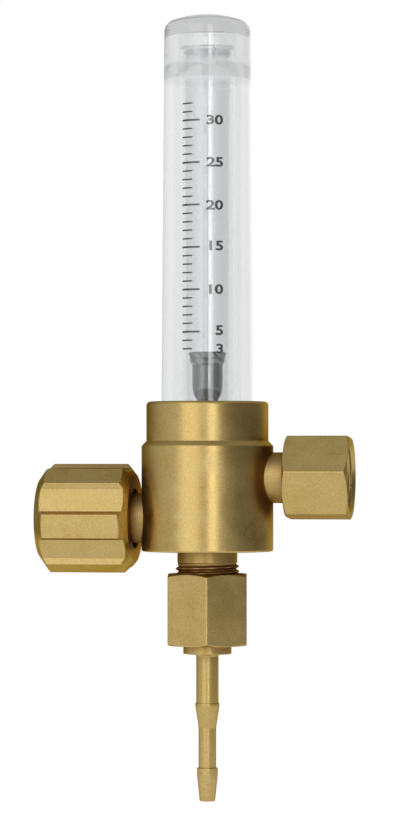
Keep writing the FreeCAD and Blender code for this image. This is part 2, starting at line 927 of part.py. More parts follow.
def make_spindle():
    """The steel spindle: needle, collar, ring groove and keyed end."""
    body = new_body("spindle", "0 - valve_drop")
    collar_end = "needle_end + spindle_collar_length"
    groove_floor = BONNET_BORE + " - spindle_ring_section - 2 * ring_clearance"
    groove_end = "spindle_ring_start + spindle_ring_section + 2 * ring_clearance"
    end = SCREW_SEAT + " - seat_clearance"
    revolve(
        body,
        "turned",
        [
            ("needle_start", "0"),
            (end, "0"),
            (end, "spindle_end_radius"),
            (KNOB_SEAT, "spindle_end_radius"),
            (KNOB_SEAT, "spindle_radius"),
            (groove_end, "spindle_radius"),
            (groove_end, groove_floor),
            ("spindle_ring_start", groove_floor),
            ("spindle_ring_start", "spindle_radius"),
            (collar_end, "spindle_radius"),
            (collar_end, "spindle_collar_radius"),
            ("needle_end", "spindle_collar_radius"),
            ("needle_end", "needle_root_radius"),
            ("needle_start", "needle_tip_radius"),
        ],
        axis="H_Axis",
    )
    sketch = new_sketch(body, "flat_outline")
    outline(
        sketch,
        [
            (KNOB_SEAT, "spindle_flat_height"),
            (end + " + overcut", "spindle_flat_height"),
            (end + " + overcut", "spindle_radius + overcut"),
            (KNOB_SEAT, "spindle_radius + overcut"),
        ],
    )
    pocket(body, "key_flat", sketch, both_ways=True)
    revolve(
        body,
        "screw_hole",
        [
            (end + " - screw_length", "0"),
            (end + " + overcut", "0"),
            (end + " + overcut", "screw_radius + ring_clearance"),
            (end + " - screw_length", "screw_radius + ring_clearance"),
        ],
        axis="H_Axis",
        cut=True,
    )
    face_left(body)
    return body


def make_spindle_ring():
    """The spindle's O-ring, which slides in the bonnet with the spindle."""
    centre = BONNET_BORE + " - ring_clearance - spindle_ring_section / 2"
    place = "spindle_ring_start + ring_clearance + spindle_ring_section / 2"
    body = round_ring(
        "spindle_o_ring", centre, "spindle_ring_section", place, "H_Axis", "0 - valve_drop"
    )
    face_left(body)
    return body


def make_knob():
    """The fluted brass knob: six flat lands, six flat floors, coned ends."""
    body = new_body("knob", "0 - valve_drop")
    bore = "spindle_end_radius + ring_clearance"
    revolve(
        body,
        "turned_blank",
        [
            (KNOB_START, "0"),
            (KNOB_END, "0"),
            (KNOB_END, "knob_end_radius"),
            (KNOB_END + " - knob_cone_length", "knob_radius"),
            (KNOB_START + " + knob_back_cone_length", "knob_radius"),
            (KNOB_START, "knob_back_radius"),
        ],
        axis="H_Axis",
    )
    sketch = new_sketch(body, "land_outline", "YZ_Plane")
    turn_sketch(sketch, "land_turn")
    side = "( knob_radius + overcut )"
    outline(
        sketch,
        [
            (LAND_HEIGHT, "0 - " + side + " / 2"),
            (side, "0 - " + side + " / 2"),
            (side, side + " / 2"),
            (LAND_HEIGHT, side + " / 2"),
        ],
    )
    land = pocket(body, "land", sketch, reverse=True)
    repeat(body, "lands", land, "X_Axis", LANDS)
    floor_sketch = new_sketch(body, "floor_outline", "YZ_Plane")
    step = "%g" % (180 / LANDS)
    turn_sketch(floor_sketch, "land_turn + " + step)
    cosine = "cos(" + step + ")"
    sine = "sin(" + step + ")"
    corner = "(" + LAND_HEIGHT + " * " + cosine + " + land_half_width * " + sine + ")"
    reach = "(" + LAND_HEIGHT + " * " + sine + " - land_half_width * " + cosine + ")"
    slope = "((" + reach + " - floor_half_width) / (" + corner + " - floor_height))"
    flare = "( floor_half_width + (" + side + " - floor_height) * " + slope + " )"
    outline(
        floor_sketch,
        [
            ("floor_height", "0 - floor_half_width"),
            (side, "0 - " + flare),
            (side, flare),
            ("floor_height", "floor_half_width"),
        ],
    )
    floor = pocket(body, "floor", floor_sketch, reverse=True)
    repeat(body, "floors", floor, "X_Axis", LANDS)
    revolve(
        body,
        "recess",
        [
            (KNOB_START + " - overcut", "0"),
            (KNOB_SEAT, "0"),
            (KNOB_SEAT, "knob_recess_radius"),
            (KNOB_START + " - overcut", "knob_recess_radius"),
        ],
        axis="H_Axis",
        cut=True,
    )
    revolve(
        body,
        "screw_pocket",
        [
            (SCREW_SEAT, "0"),
            (KNOB_END + " + overcut", "0"),
            (KNOB_END + " + overcut", "knob_pocket_radius"),
            (SCREW_SEAT, "knob_pocket_radius"),
        ],
        axis="H_Axis",
        cut=True,
    )
    keyed_bore(body, bore)
    face_left(body)
    return body


def keyed_bore(body, bore):
    """The knob's bore, with the flat that the spindle's end needs."""
    sketch = new_sketch(body, "bore_outline", "YZ_Plane")
    flat = "( spindle_flat_height + ring_clearance )"
    half = "sqrt((" + bore + ")^2 - " + flat + "^2)"
    top = FreeCAD.Vector(size(half), size(flat), 0)
    left = FreeCAD.Vector(-size(half), size(flat), 0)
    low = FreeCAD.Vector(0, -size(bore), 0)
    sketch.addGeometry(Part.LineSegment(top, left), False)
    sketch.addGeometry(Part.Arc(left, low, top), False)
    sketch.addConstraint(Sketcher.Constraint("Coincident", 0, 2, 1, 1))
    sketch.addConstraint(Sketcher.Constraint("Coincident", 1, 2, 0, 1))
    sketch.addConstraint(Sketcher.Constraint("Coincident", 1, 3, -1, 1))
    tie = sketch.addConstraint(Sketcher.Constraint("Radius", 1, size(bore)))
    sketch.setExpression("Constraints[%d]" % tie, at(bore))
    sketch.addConstraint(Sketcher.Constraint("Horizontal", 0))
    tie = sketch.addConstraint(
        Sketcher.Constraint("DistanceY", -1, 1, 0, 1, size(flat))
    )
    sketch.setExpression("Constraints[%d]" % tie, at(flat))
    return pocket(body, "keyed_bore", sketch, reverse=True)


def make_knob_screw():
    """The socket screw that holds the knob on the spindle."""
    body = new_body("knob_screw", "0 - valve_drop")
    seat = SCREW_SEAT + " + screw_washer_height"
    head_top = seat + " + screw_head_height"
    point = seat + " - screw_length"
    revolve(
        body,
        "turned",
        [
            (point, "0"),
            (head_top, "0"),
            (head_top, "screw_head_radius - screw_edge_break"),
            (head_top + " - screw_edge_break", "screw_head_radius"),
            (seat, "screw_head_radius"),
            (seat, "screw_radius"),
            (point + " + screw_edge_break", "screw_radius"),
            (point, "screw_radius - screw_edge_break"),
        ],
        axis="H_Axis",
    )
    sketch = new_sketch(body, "socket_outline", "YZ_Plane", lift=head_top)
    hexagon(sketch, "screw_socket_flats", "screw_socket_turn")
    pocket(body, "socket", sketch, "screw_socket_depth")
    face_left(body)
    return body


def make_washers():
    """The seals and washers: each fills the gap that its seats leave."""
    inlet_bore = "nipple_thread_radius + seat_clearance"
    valve_bore = "bonnet_thread_radius + seat_clearance"
    ring("tube_gasket", "tube_foot_bore + seat_clearance", "tube_radius",
         TUBE_FLOOR, TUBE_FLOOR + " + tube_gasket_height")
    ring("tail_seal", "outlet_bore_radius", "thread_root_radius - thread_chamfer",
         TAIL_TOP, OUTLET_END)
    ring("nipple_washer", inlet_bore, "nipple_radius",
         INLET_POCKET, NIPPLE_SHOULDER, "H_Axis")
    ring("inlet_seal", "inlet_seal_bore", "inlet_seal_radius",
         NIPPLE_FACE, NIPPLE_FACE + " + inlet_seal_height", "H_Axis")
    for label, inner, outer, start, end in (
        ("bonnet_washer", valve_bore, "bonnet_radius", VALVE_POCKET, BONNET_SHOULDER),
        ("knob_screw_washer", "screw_radius + seat_clearance", "screw_washer_radius",
         SCREW_SEAT, SCREW_SEAT + " + screw_washer_height"),
    ):
        face_left(ring(label, inner, outer, start, end, "H_Axis", "0 - valve_drop"))
    body = new_body("inlet_filter")
    floor = NIPPLE_FACE + " - filter_height"
    revolve(
        body,
        "pressed_disc",
        [
            (floor, "0"),
            (NIPPLE_FACE, "0"),
            (NIPPLE_FACE, "filter_radius"),
            (floor, "filter_radius"),
        ],
        axis="H_Axis",
    )


make_body()
make_cover()
make_cover_ring()
make_metering_tube()
make_float()
make_float_rest()
make_float_stop()
make_nipple()
make_nuts()
make_hose_tail()
make_valve_seat()
make_bonnet()
make_spindle()
make_spindle_ring()
make_knob()
make_knob_screw()
make_washers()
doc.recompute()

for thing in doc.Objects:
    if "Invalid" in thing.State or "Error" in thing.State:
        raise RuntimeError("%s %s has failed" % (thing.TypeId, thing.Label))

pieces = [thing for thing in doc.Objects if thing.TypeId == "PartDesign::Body"]
os.makedirs("parts", exist_ok=True)
for piece in pieces:
    shape = piece.Shape
    if shape.isNull() or not shape.isValid() or len(shape.Solids) != 1:
        raise RuntimeError(piece.Label + " isn't one valid solid")
for piece in pieces:
    piece.Shape.exportStep("parts/" + piece.Label + ".step")
    box = piece.Shape.BoundBox
    print(
        "%-18s %9.2f mm3   x %.2f to %.2f   z %.2f to %.2f"
        % (piece.Label, piece.Shape.Volume, box.XMin, box.XMax, box.ZMin, box.ZMax)
    )
print("%d pieces" % len(pieces))
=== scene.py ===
# %% [markdown]
# An oxygen flowmeter, dressed for its picture. The real one is a short brass body with a clear tube
# standing on it, a fluted knob on the left, a union nut on the right and a hose tail below.
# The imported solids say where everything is. This script gives them their finish, and builds again the
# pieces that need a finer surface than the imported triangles: clear plastic, rounded brass edges, threads
# and the printed scale.

# %% Load the fixed frame
import json
import math

import bpy
import numpy as np
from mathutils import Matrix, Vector


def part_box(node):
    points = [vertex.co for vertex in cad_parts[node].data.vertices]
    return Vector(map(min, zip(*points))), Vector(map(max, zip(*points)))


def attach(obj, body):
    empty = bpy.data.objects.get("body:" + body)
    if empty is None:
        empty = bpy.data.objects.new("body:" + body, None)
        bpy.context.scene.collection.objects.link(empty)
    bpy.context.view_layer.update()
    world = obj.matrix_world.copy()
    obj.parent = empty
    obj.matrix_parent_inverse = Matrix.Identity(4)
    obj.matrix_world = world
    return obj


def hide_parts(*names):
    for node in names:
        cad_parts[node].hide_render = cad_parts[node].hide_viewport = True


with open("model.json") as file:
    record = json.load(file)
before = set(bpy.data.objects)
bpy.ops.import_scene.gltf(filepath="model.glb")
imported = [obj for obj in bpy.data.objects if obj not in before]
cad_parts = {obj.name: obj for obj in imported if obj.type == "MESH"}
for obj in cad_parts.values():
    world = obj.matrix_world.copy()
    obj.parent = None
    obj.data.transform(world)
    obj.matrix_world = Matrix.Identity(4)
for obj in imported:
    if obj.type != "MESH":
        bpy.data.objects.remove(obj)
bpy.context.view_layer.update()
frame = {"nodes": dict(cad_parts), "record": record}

MM = 0.001

# %% [markdown]
# Every size below is a real one in millimetres. What the solids can tell is read from their boxes, so that
# the finished surfaces sit exactly where the solids are.

# %% Read the main places from the solids


def extent(node):
    """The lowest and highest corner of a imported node, in millimetres."""
    low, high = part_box(node)
    return np.array(low) / MM, np.array(high) / MM


tube_low, tube_high = extent("metering_tube")
body_low, body_high = extent("body")
bonnet_low, bonnet_high = extent("bonnet")
AXIS_X = (tube_low[0] + tube_high[0]) / 2
VALVE_Z = (bonnet_low[2] + bonnet_high[2]) / 2
COLLAR_TOP = body_high[2]
print("upright axis at x = %.2f mm, valve axis at z = %.2f mm" % (AXIS_X, VALVE_Z))

# %% [markdown]
# The camera stands level, a little to the right of the scale, about 0.9 m away and at the height of the
# supply nut, as the photo was taken: there the nut's rims look straight, and the rims above and below it
# bend the more the further they are. The picture is then shifted up to hold the whole object. One pixel of
# the 400 x 816 picture covers 0.28 mm at the tube's axis, and the tube stands 2 mm right of the middle.

# %% Camera
CAMERA_TURN = 9.3
CAMERA_DISTANCE = 900.0
CAMERA_HEIGHT = 6.3
MIDDLE_HEIGHT = 19.5
PICTURE_SIZE = (400, 816)
PIXEL = 0.28
TUBE_OFFSET = 2.07


def direction(turn, rise=0.0):
    """Unit vector from the object, turned to the right of the photo's camera and raised, in degrees."""
    side = math.radians(CAMERA_TURN + turn)
    up = math.radians(rise)
    return Vector((math.sin(side) * math.cos(up), -math.cos(side) * math.cos(up), math.sin(up)))


def look_at(thing, place, target):
    """Puts a camera or lamp at a place and points it at a target, both in millimetres."""
    thing.location = Vector(place) * MM
    way = Vector(target) - Vector(place)
    thing.rotation_euler = way.to_track_quat("-Z", "Y").to_euler()
    bpy.context.scene.collection.objects.link(thing)


target = Vector((AXIS_X, 0, CAMERA_HEIGHT)) - direction(90) * TUBE_OFFSET
camera = bpy.data.objects.new("camera", bpy.data.cameras.new("camera"))
camera.data.sensor_fit = "VERTICAL"
camera.data.angle = 2 * math.atan(PICTURE_SIZE[1] * PIXEL / 2 / CAMERA_DISTANCE)
camera.data.shift_y = (MIDDLE_HEIGHT - CAMERA_HEIGHT) / (PICTURE_SIZE[1] * PIXEL)
camera.data.clip_start = 0.01
look_at(camera, target + direction(0) * CAMERA_DISTANCE, target)
bpy.context.scene.camera = camera
bpy.context.scene.view_settings.view_transform = "Standard"
print("camera sees %.1f degrees from top to bottom" % math.degrees(camera.data.angle))

# %% [markdown]
# Colours are written as the hex values that a paint program shows. Blender wants linear light, so one
# function turns them.

# %% Colour


def linear(hex_colour):
    """Hex to linear RGBA: below 0.04045 a division by 12.92, above it a power of 2.4."""
    value = np.array([int(hex_colour[i:i + 2], 16) for i in (1, 3, 5)]) / 255
    curve = np.where(value <= 0.04045, value / 12.92, ((value + 0.055) / 1.055) ** 2.4)
    return (*curve.tolist(), 1.0)


print("white is", linear("#ffffff"))

# %% [markdown]
# A material is a small graph. One function adds a node: its settings are plain words, and its inputs are
# given by name or number, as a value, as another node's output, or as a node, whose first output counts.

# %% Nodes


def feed(node, inputs):
    """Sets or links a node's inputs."""
    for socket, value in inputs.items():
        if isinstance(value, bpy.types.Node):
            value = value.outputs[0]
        if isinstance(value, bpy.types.NodeSocket):
            node.id_data.links.new(value, node.inputs[socket])
        else:
            node.inputs[socket].default_value = value


def add_node(tree, kind, inputs=None, **settings):
    """Adds one node to a graph, with its settings and its inputs."""
    node = tree.nodes.new("ShaderNode" + kind)
    for word, value in settings.items():
        setattr(node, word, value)
    feed(node, inputs or {})
    return node


def new_material(name):
    """An empty material: its graph and its surface shader, linked to the output."""
    material = bpy.data.materials.new(name)
    material.use_nodes = True
    tree = material.node_tree
    tree.nodes.clear()
    shader = add_node(tree, "BsdfPrincipled")
    add_node(tree, "OutputMaterial", {"Surface": shader})
    return material, tree, shader


print("functions for nodes:", feed.__name__, add_node.__name__, new_material.__name__)

# %% [markdown]
# The room. It could be one even white, but satin brass is mostly a picture of its room, and would look flat
# in it. The photo tells what stood there: light from the left of the lens, darkness on the right and round
# the lens, and white paper behind. So the metal sees a level that changes with the direction, while the
# camera sees white paper all round. The clear plastic bends its view far to the sides and still shows the
# paper, so for it the paper reaches further round, up to the darkness overhead that greys the dome.

# %% World
STUDIO_BASE = 0.3
STUDIO_DARKEST = 0.03
SEEN_IN_METAL = (
    ("light from the left", direction(-45), 0.0, 0.9, 0.3),
    ("darkness on the right", direction(75), 0.5, 0.9, -0.17),
    ("pale ceiling", Vector((0, 0, 1)), 0.3, 0.9, 0.06),
    ("darkness round the lens", direction(-5), 0.965, 0.995, -0.28),
    ("white paper behind", direction(165), 0.8, 0.97, 0.7),
)
SEEN_THROUGH = (
    ("white paper behind", direction(180), -0.3, 0.6, 0.7),
    ("white paper in front", direction(0), 0.5, 0.9, 0.4),
    ("darkness overhead", Vector((0, 0, 1)), 0.3, 0.9, -0.3),
)

world = bpy.data.worlds.new("studio")
bpy.context.scene.world = world
world.use_nodes = True
sky = world.node_tree
sky.nodes.clear()
ray = add_node(sky, "LightPath").outputs
way = add_node(sky, "TexCoord").outputs["Generated"]


def studio(lights):
    """The studio's level: a gain for each light, coming in smoothly between two cosines from its axis."""
    level = STUDIO_BASE
    for words, axis, start, end, gain in lights:
        lean = add_node(sky, "VectorMath", {0: way, 1: axis}, operation="DOT_PRODUCT").outputs["Value"]
        limits = {"Value": lean, "From Min": start, "From Max": end, "To Max": gain}
        share = add_node(sky, "MapRange", limits, interpolation_type="SMOOTHSTEP")
        level = add_node(sky, "Math", {0: share, 1: level}, operation="ADD")
        print("studio:", words, gain)
    return level


levels = {0: ray["Is Transmission Ray"], 2: studio(SEEN_IN_METAL), 3: studio(SEEN_THROUGH)}
either = add_node(sky, "Mix", levels)
held = add_node(sky, "Clamp", {"Value": either, "Min": STUDIO_DARKEST, "Max": 1.0})
strength = add_node(sky, "Mix", {0: ray["Is Camera Ray"], 2: held, 3: 1.0})
background = add_node(sky, "Background", {"Color": linear("#ffffff"), "Strength": strength})
add_node(sky, "OutputWorld", {"Surface": background})

# %% [markdown]
# Three softboxes: a wide one to the left of the lens, a narrow brighter strip just right of it, and a small
# near one above the knob. The strip draws the white line down the clear tube and the bright band on the
# body, and the dark gap between it and the wide one is the dark line on the float.

# %% Lamps
LAMP_DISTANCE = 1200.0
NEAR_LAMP_DISTANCE = 500.0


def softbox(name, turn, rise, width, height, radiance, distance=LAMP_DISTANCE):
    """A rectangular lamp facing the object. Its power is radiance x area x pi."""
    data = bpy.data.lights.new(name, "AREA")
    data.shape = "RECTANGLE"
    data.size = width * MM
    data.size_y = height * MM
    data.energy = radiance * math.pi * data.size * data.size_y
    lamp = bpy.data.objects.new(name, data)
    place = Vector((AXIS_X, 0, 0)) + direction(turn, rise) * distance
    look_at(lamp, place, (AXIS_X, 0, 0))
    lamp.visible_camera = False
    return lamp


softbox("left_softbox", -31, 4, 830, 1300, 0.75)
softbox("strip_softbox", 9, 5, 252, 1500, 2.2)
softbox("upper_softbox", -38, 40, 300, 260, 0.5, NEAR_LAMP_DISTANCE)

# %% [markdown]
# A pale floor keeps the soft shadow. The hose tail comes down by 7.5 mm when its nut is undone, so the
# floor lies just lower than that. To the camera and through the clear plastic the paper glows up to white.
# The brass sees a little over half of that glow, or else it would look lit from below.
# The floor is also the first mesh, so here is the function that makes one: a list of points and a list of
# faces that name their corners by number. The object stays at the origin, with its place in its mesh.

# %% Floor
TAIL_DROP = 7.5
FLOOR_GAP = 0.7
FLOOR_HALF_WIDTH = 450.0
FLOOR_GLOW = 0.62
GLOW_IN_METAL = 0.55


def new_object(name, points, faces):
    """An object of points in millimetres, whose faces name them by number."""
    mesh = bpy.data.meshes.new(name)
    mesh.from_pydata((points * MM).tolist(), [], faces)
    thing = bpy.data.objects.new(name, mesh)
    bpy.context.scene.collection.objects.link(thing)
    return thing


tail_low, tail_high = extent("hose_tail")
floor_z = tail_low[2] - TAIL_DROP - FLOOR_GAP
corners = np.array([[-1, -1, 0], [1, -1, 0], [1, 1, 0], [-1, 1, 0]]) * FLOOR_HALF_WIDTH
corners[:, 2] = floor_z
floor = new_object("floor", corners, [(0, 1, 2, 3)])
paper, paper_tree, paper_shader = new_material("matt_white_paper")
paper_ray = add_node(paper_tree, "LightPath").outputs
seen = paper_ray["Is Camera Ray"]
for word, share in (("Is Transmission Ray", 1.0), ("Is Glossy Ray", GLOW_IN_METAL)):
    seen = add_node(paper_tree, "Math", {0: paper_ray[word], 1: share, 2: seen}, operation="MULTIPLY_ADD")
glow = add_node(paper_tree, "Math", {0: seen, 1: FLOOR_GLOW}, operation="MULTIPLY")
feed(paper_shader, {"Emission Strength": glow, "Emission Color": linear("#ffffff")})
feed(paper_shader, {"Base Color": linear("#f4f4f2"), "Roughness": 0.9})
floor.data.materials.append(paper)
print("floor at z = %.1f mm" % floor_z)

# %% [markdown]
# Brass is copper with about 40 per cent of zinc. Turned brass keeps fine rings from the tool, so its
# highlight is satin. The rings follow the lathe: they depend only on the distance from the axis and on the
# place along it. A faint cloudiness in colour and roughness keeps the surface from looking painted. In the
# gaps beside other pieces, as far as ambient occlusion reaches, the colour is painted shade: a darker
# brown, and a little rougher.

# %% Brass finishes
BRASS_BRIGHT = "#dcc286"
BRASS_DULL = "#c7a95f"
CLOUD_SIZE = 6.0
GRAIN_SIZE = 0.45
TURNING_PITCH = 0.35
DRAWN_LENGTH = 9.0
# Painted shade: the brown the brass colour turns where ambient occlusion finds other pieces within the
# reach, and the roughness added there.
PAINTED_GAP_SHADE = "#8a6030"
PAINTED_SHADE_REACH = 12.0
GAP_DULLNESS = 0.2
GLANCING = "#b8a076"
SPECKLE = (0.86, 1.08)
ROUGHNESS_DRIFT = (-0.04, 0.06)


def centred(tree, way, origin):
    """Object coordinates measured from a piece's own axis, along the axis as Z, in millimetres."""
    place = add_node(tree, "TexCoord").outputs["Object"]
    moved = add_node(tree, "VectorMath", {0: place, 1: Vector(origin) * MM}, operation="SUBTRACT")
    scaled = add_node(tree, "VectorMath", {0: moved, "Scale": 1 / MM}, operation="SCALE")
    if way == "Z":
        return scaled
    split = add_node(tree, "SeparateXYZ", {0: scaled}).outputs
    return add_node(tree, "CombineXYZ", {0: split["Z"], 1: split["Y"], 2: split["X"]})


def brass(name, way, origin, lines, roughness=0.3, relief=0.006):
    """Satin brass with tool marks: rings for turned work, long lines for drawn or milled bar."""
    material, tree, shader = new_material(name)
    place = centred(tree, way, origin)
    if lines == "rings":
        height = add_node(tree, "SeparateXYZ", {0: place}).outputs["Z"]
        flat = add_node(tree, "VectorMath", {0: place, 1: (1, 1, 0)}, operation="MULTIPLY")
        reach = add_node(tree, "VectorMath", {0: flat}, operation="LENGTH").outputs["Value"]
        marks_place = add_node(tree, "CombineXYZ", {0: reach, 1: height})
    else:
        drawn = (1, 1, TURNING_PITCH / DRAWN_LENGTH)
        marks_place = add_node(tree, "VectorMath", {0: place, 1: drawn}, operation="MULTIPLY")
    marks, grain, cloud = [
        add_node(tree, "TexNoise", {"Vector": where, "Scale": 1 / size, "Detail": detail})
        for where, size, detail in (
            (marks_place, TURNING_PITCH, 3.0),
            (place, GRAIN_SIZE, 2.0),
            (place, CLOUD_SIZE, 3.0),
        )
    ]
    tones = {0: cloud, 6: linear(BRASS_DULL), 7: linear(BRASS_BRIGHT)}
    tone = add_node(tree, "Mix", tones, data_type="RGBA").outputs[2]
    limits = {"Value": grain, "From Min": 0.3, "From Max": 0.7}
    speckle = add_node(tree, "MapRange", {**limits, "To Min": SPECKLE[0], "To Max": SPECKLE[1]})
    colour = add_node(tree, "VectorMath", {0: tone, "Scale": speckle}, operation="SCALE")
    # Painted shade: ambient occlusion from nearby pieces mixes the colour towards a darker brown.
    gap = add_node(tree, "AmbientOcclusion", {"Distance": PAINTED_SHADE_REACH * MM}, samples=8).outputs["AO"]
    openness = add_node(tree, "MapRange", {"Value": gap, "From Min": 0.1, "From Max": 0.9})
    tones = {0: openness, 6: linear(PAINTED_GAP_SHADE), 7: colour}
    gap_shaded = add_node(tree, "Mix", tones, data_type="RGBA").outputs[2]
    both = add_node(tree, "Math", {0: marks, 1: grain}, operation="ADD")
    bump = add_node(tree, "Bump", {"Height": both, "Strength": 0.5, "Distance": relief * MM})
    least, most = roughness + np.array(ROUGHNESS_DRIFT)
    dullness = add_node(tree, "MapRange", {**limits, "Value": cloud, "To Min": least, "To Max": most})
    gap_dulling = {0: openness, 1: -GAP_DULLNESS, 2: GAP_DULLNESS}
    duller = add_node(tree, "Math", gap_dulling, operation="MULTIPLY_ADD")
    rough = add_node(tree, "Math", {0: duller, 1: dullness}, operation="ADD")
    feed(shader, {"Base Color": gap_shaded, "Roughness": rough, "Normal": bump})
    feed(shader, {"Metallic": 1.0, "Specular Tint": linear(GLANCING)})
    return material


upright = (AXIS_X, 0, 0)
supply = (AXIS_X, 0, 0)
valve = (AXIS_X, 0, VALVE_Z)
body_brass = brass("turned_brass_upright", "Z", upright, "rings")
supply_brass = brass("turned_brass_supply", "X", supply, "rings")
valve_brass = brass("turned_brass_valve", "X", valve, "rings")
outlet_bar_brass = brass("hexagon_bar_brass_upright", "Z", upright, "bar", roughness=0.34, relief=0.008)
supply_bar_brass = brass("hexagon_bar_brass_supply", "X", supply, "bar", roughness=0.34, relief=0.008)
knob_brass = brass("milled_brass_knob", "X", valve, "bar", roughness=0.27)
print("brass finishes:", len([m for m in bpy.data.materials if "brass" in m.name]))

# %% [markdown]
# The cover is moulded polycarbonate and the metering tube a drawn one of clear glass-like plastic: both
# refract strongly and have a surface that flows a little along the length, which draws faint upright
# streaks. Each millimetre takes a fiftieth of the light, so the thick dome is greyer than the walls. Light
# on its way to the parts inside passes straight through. Rays that have been reflected three times or more
# see a painted glow instead: white, or a painted cloudy grey in the dome. Where the cover's bore narrows,
# its wall bends the dark sides of the room into a ring, which a band of painted pale glow softens.

# %% Clear plastics
FLOW_WIDTH = 3.0
FLOW_LENGTH = 60.0
# Painted glow: rays past this many glossy bounces see a flat emission, white, or cloudy grey in the dome.
TRAPPED_DEPTH = 3
PAINTED_GLOW_STRENGTH = 1.4
PAINTED_GLOW_COLOUR = "#ffffff"
DOME_GLOW_PALE = "#c9cccc"
DOME_GLOW_GREY = "#8b8f8f"
DOME_FOOT = 122.0
DOME_CLOUD = 7.0
DOME_FADE = 2.0
DOME_WAVE = 14.0
# Painted light: a band of pale emission round this height, where the cover's bore narrows.
CORNER_HEIGHT = 113.5
CORNER_REACH = 2.5
CORNER_FADE = 1.5
CORNER_PAINTED_LIGHT = "#e2e4e4"
THICK_PLASTIC_GREY = 22.0


def clear_plastic(name, colour, index, relief, corner_share=0.0):
    """A clear moulding: nearly smooth, refracting, with flow lines along its length, and painted glow for
    rays reflected many times and round the bore's narrowing.
    """
    material, tree, shader = new_material(name)
    place = centred(tree, "Z", upright)
    drawn = (1, 1, FLOW_WIDTH / FLOW_LENGTH)
    stretched = add_node(tree, "VectorMath", {0: place, 1: drawn}, operation="MULTIPLY")
    flow, swirl = [
        add_node(tree, "TexNoise", {"Vector": where, "Scale": 1 / size, "Detail": 1.0})
        for where, size in ((stretched, FLOW_WIDTH), (place, DOME_CLOUD))
    ]
    height = add_node(tree, "SeparateXYZ", {0: place}).outputs["Z"]
    limits = {"Value": height, "From Min": DOME_FOOT, "From Max": DOME_FOOT + DOME_FADE}
    above = add_node(tree, "MapRange", limits)
    wave = add_node(tree, "Math", {0: swirl, 1: above}, operation="MULTIPLY")
    surface = add_node(tree, "Math", {0: wave, 1: DOME_WAVE, 2: flow}, operation="MULTIPLY_ADD")
    bump = add_node(tree, "Bump", {"Height": surface, "Strength": 0.6, "Distance": relief * MM})
    feed(shader, {"Normal": bump, "Base Color": linear(colour), "Roughness": 0.0})
    feed(shader, {"IOR": index, "Transmission Weight": 1.0})
    # Painted glow: after TRAPPED_DEPTH glossy bounces the surface turns into an emission, white below the
    # dome and cloudy grey in it.
    path = add_node(tree, "LightPath").outputs
    depth = {0: path["Glossy Depth"], 1: TRAPPED_DEPTH - 0.5}
    late = add_node(tree, "Math", depth, operation="GREATER_THAN")
    cloud = add_node(tree, "MapRange", {"Value": swirl, "From Min": 0.4, "From Max": 0.6})
    tones = {0: cloud, 6: linear(DOME_GLOW_GREY), 7: linear(DOME_GLOW_PALE)}
    dome = add_node(tree, "Mix", tones, data_type="RGBA").outputs[2]
    tones = {0: above, 6: linear(PAINTED_GLOW_COLOUR), 7: dome}
    glow_tone = add_node(tree, "Mix", tones, data_type="RGBA").outputs[2]
    even = add_node(tree, "Emission", {"Color": glow_tone, "Strength": PAINTED_GLOW_STRENGTH})
    # Painted light: within CORNER_REACH of CORNER_HEIGHT a share of flat pale emission is mixed in,
    # softening the dark ring there.
    offset = add_node(tree, "Math", {0: height, 1: CORNER_HEIGHT}, operation="SUBTRACT")
    reach = add_node(tree, "Math", {0: offset}, operation="ABSOLUTE")
    limits = {"Value": reach, "From Min": CORNER_REACH, "From Max": CORNER_REACH + CORNER_FADE}
    share = add_node(tree, "MapRange", {**limits, "To Min": corner_share, "To Max": 0.0})
    corner = add_node(tree, "Emission", {"Color": linear(CORNER_PAINTED_LIGHT)})
    clear = add_node(tree, "BsdfTransparent", {"Color": linear(colour)})
    mixed = shader
    for factor, other in ((late, even), (share, corner), (path["Is Shadow Ray"], clear)):
        mixed = add_node(tree, "MixShader", {0: factor, 1: mixed, 2: other})
    absorbed = {"Color": linear("#000000"), "Density": THICK_PLASTIC_GREY}
    haze = add_node(tree, "VolumeAbsorption", absorbed)
    feed(tree.nodes["Material Output"], {"Surface": mixed, "Volume": haze})
    return material


cover_plastic = clear_plastic(
    "clear_polycarbonate_cover", "#fbfcfc", index=1.585, relief=0.03, corner_share=0.33
)
tube_plastic = clear_plastic("clear_drawn_tube", "#f7f8f8", index=1.49, relief=0.01)
print("clear plastics made")

# %% [markdown]
# The hidden and small pieces get the finish of what they are: black rubber seals, white sealing fibre,
# turned steel, sintered bronze, a dark satin metal float and a translucent plastic stop. Each has a darker
# and a lighter tone, the size of its pattern, its roughness and its relief in millimetres.

# %% Other finishes


def plain_finish(name, dark, light, size, roughness, relief, metallic=0.0):
    """A plain material whose colour and surface wander between two tones over a size in millimetres."""
    material, tree, shader = new_material(name)
    place = centred(tree, "Z", upright)
    drift = add_node(tree, "TexNoise", {"Vector": place, "Scale": 1 / size, "Detail": 3.0})
    tone = add_node(tree, "Mix", {0: drift, 6: linear(dark), 7: linear(light)}, data_type="RGBA")
    bump = add_node(tree, "Bump", {"Height": drift, "Strength": 0.5, "Distance": relief * MM})
    feed(shader, {"Base Color": tone.outputs[2], "Normal": bump})
    feed(shader, {"Roughness": roughness, "Metallic": metallic})
    return material


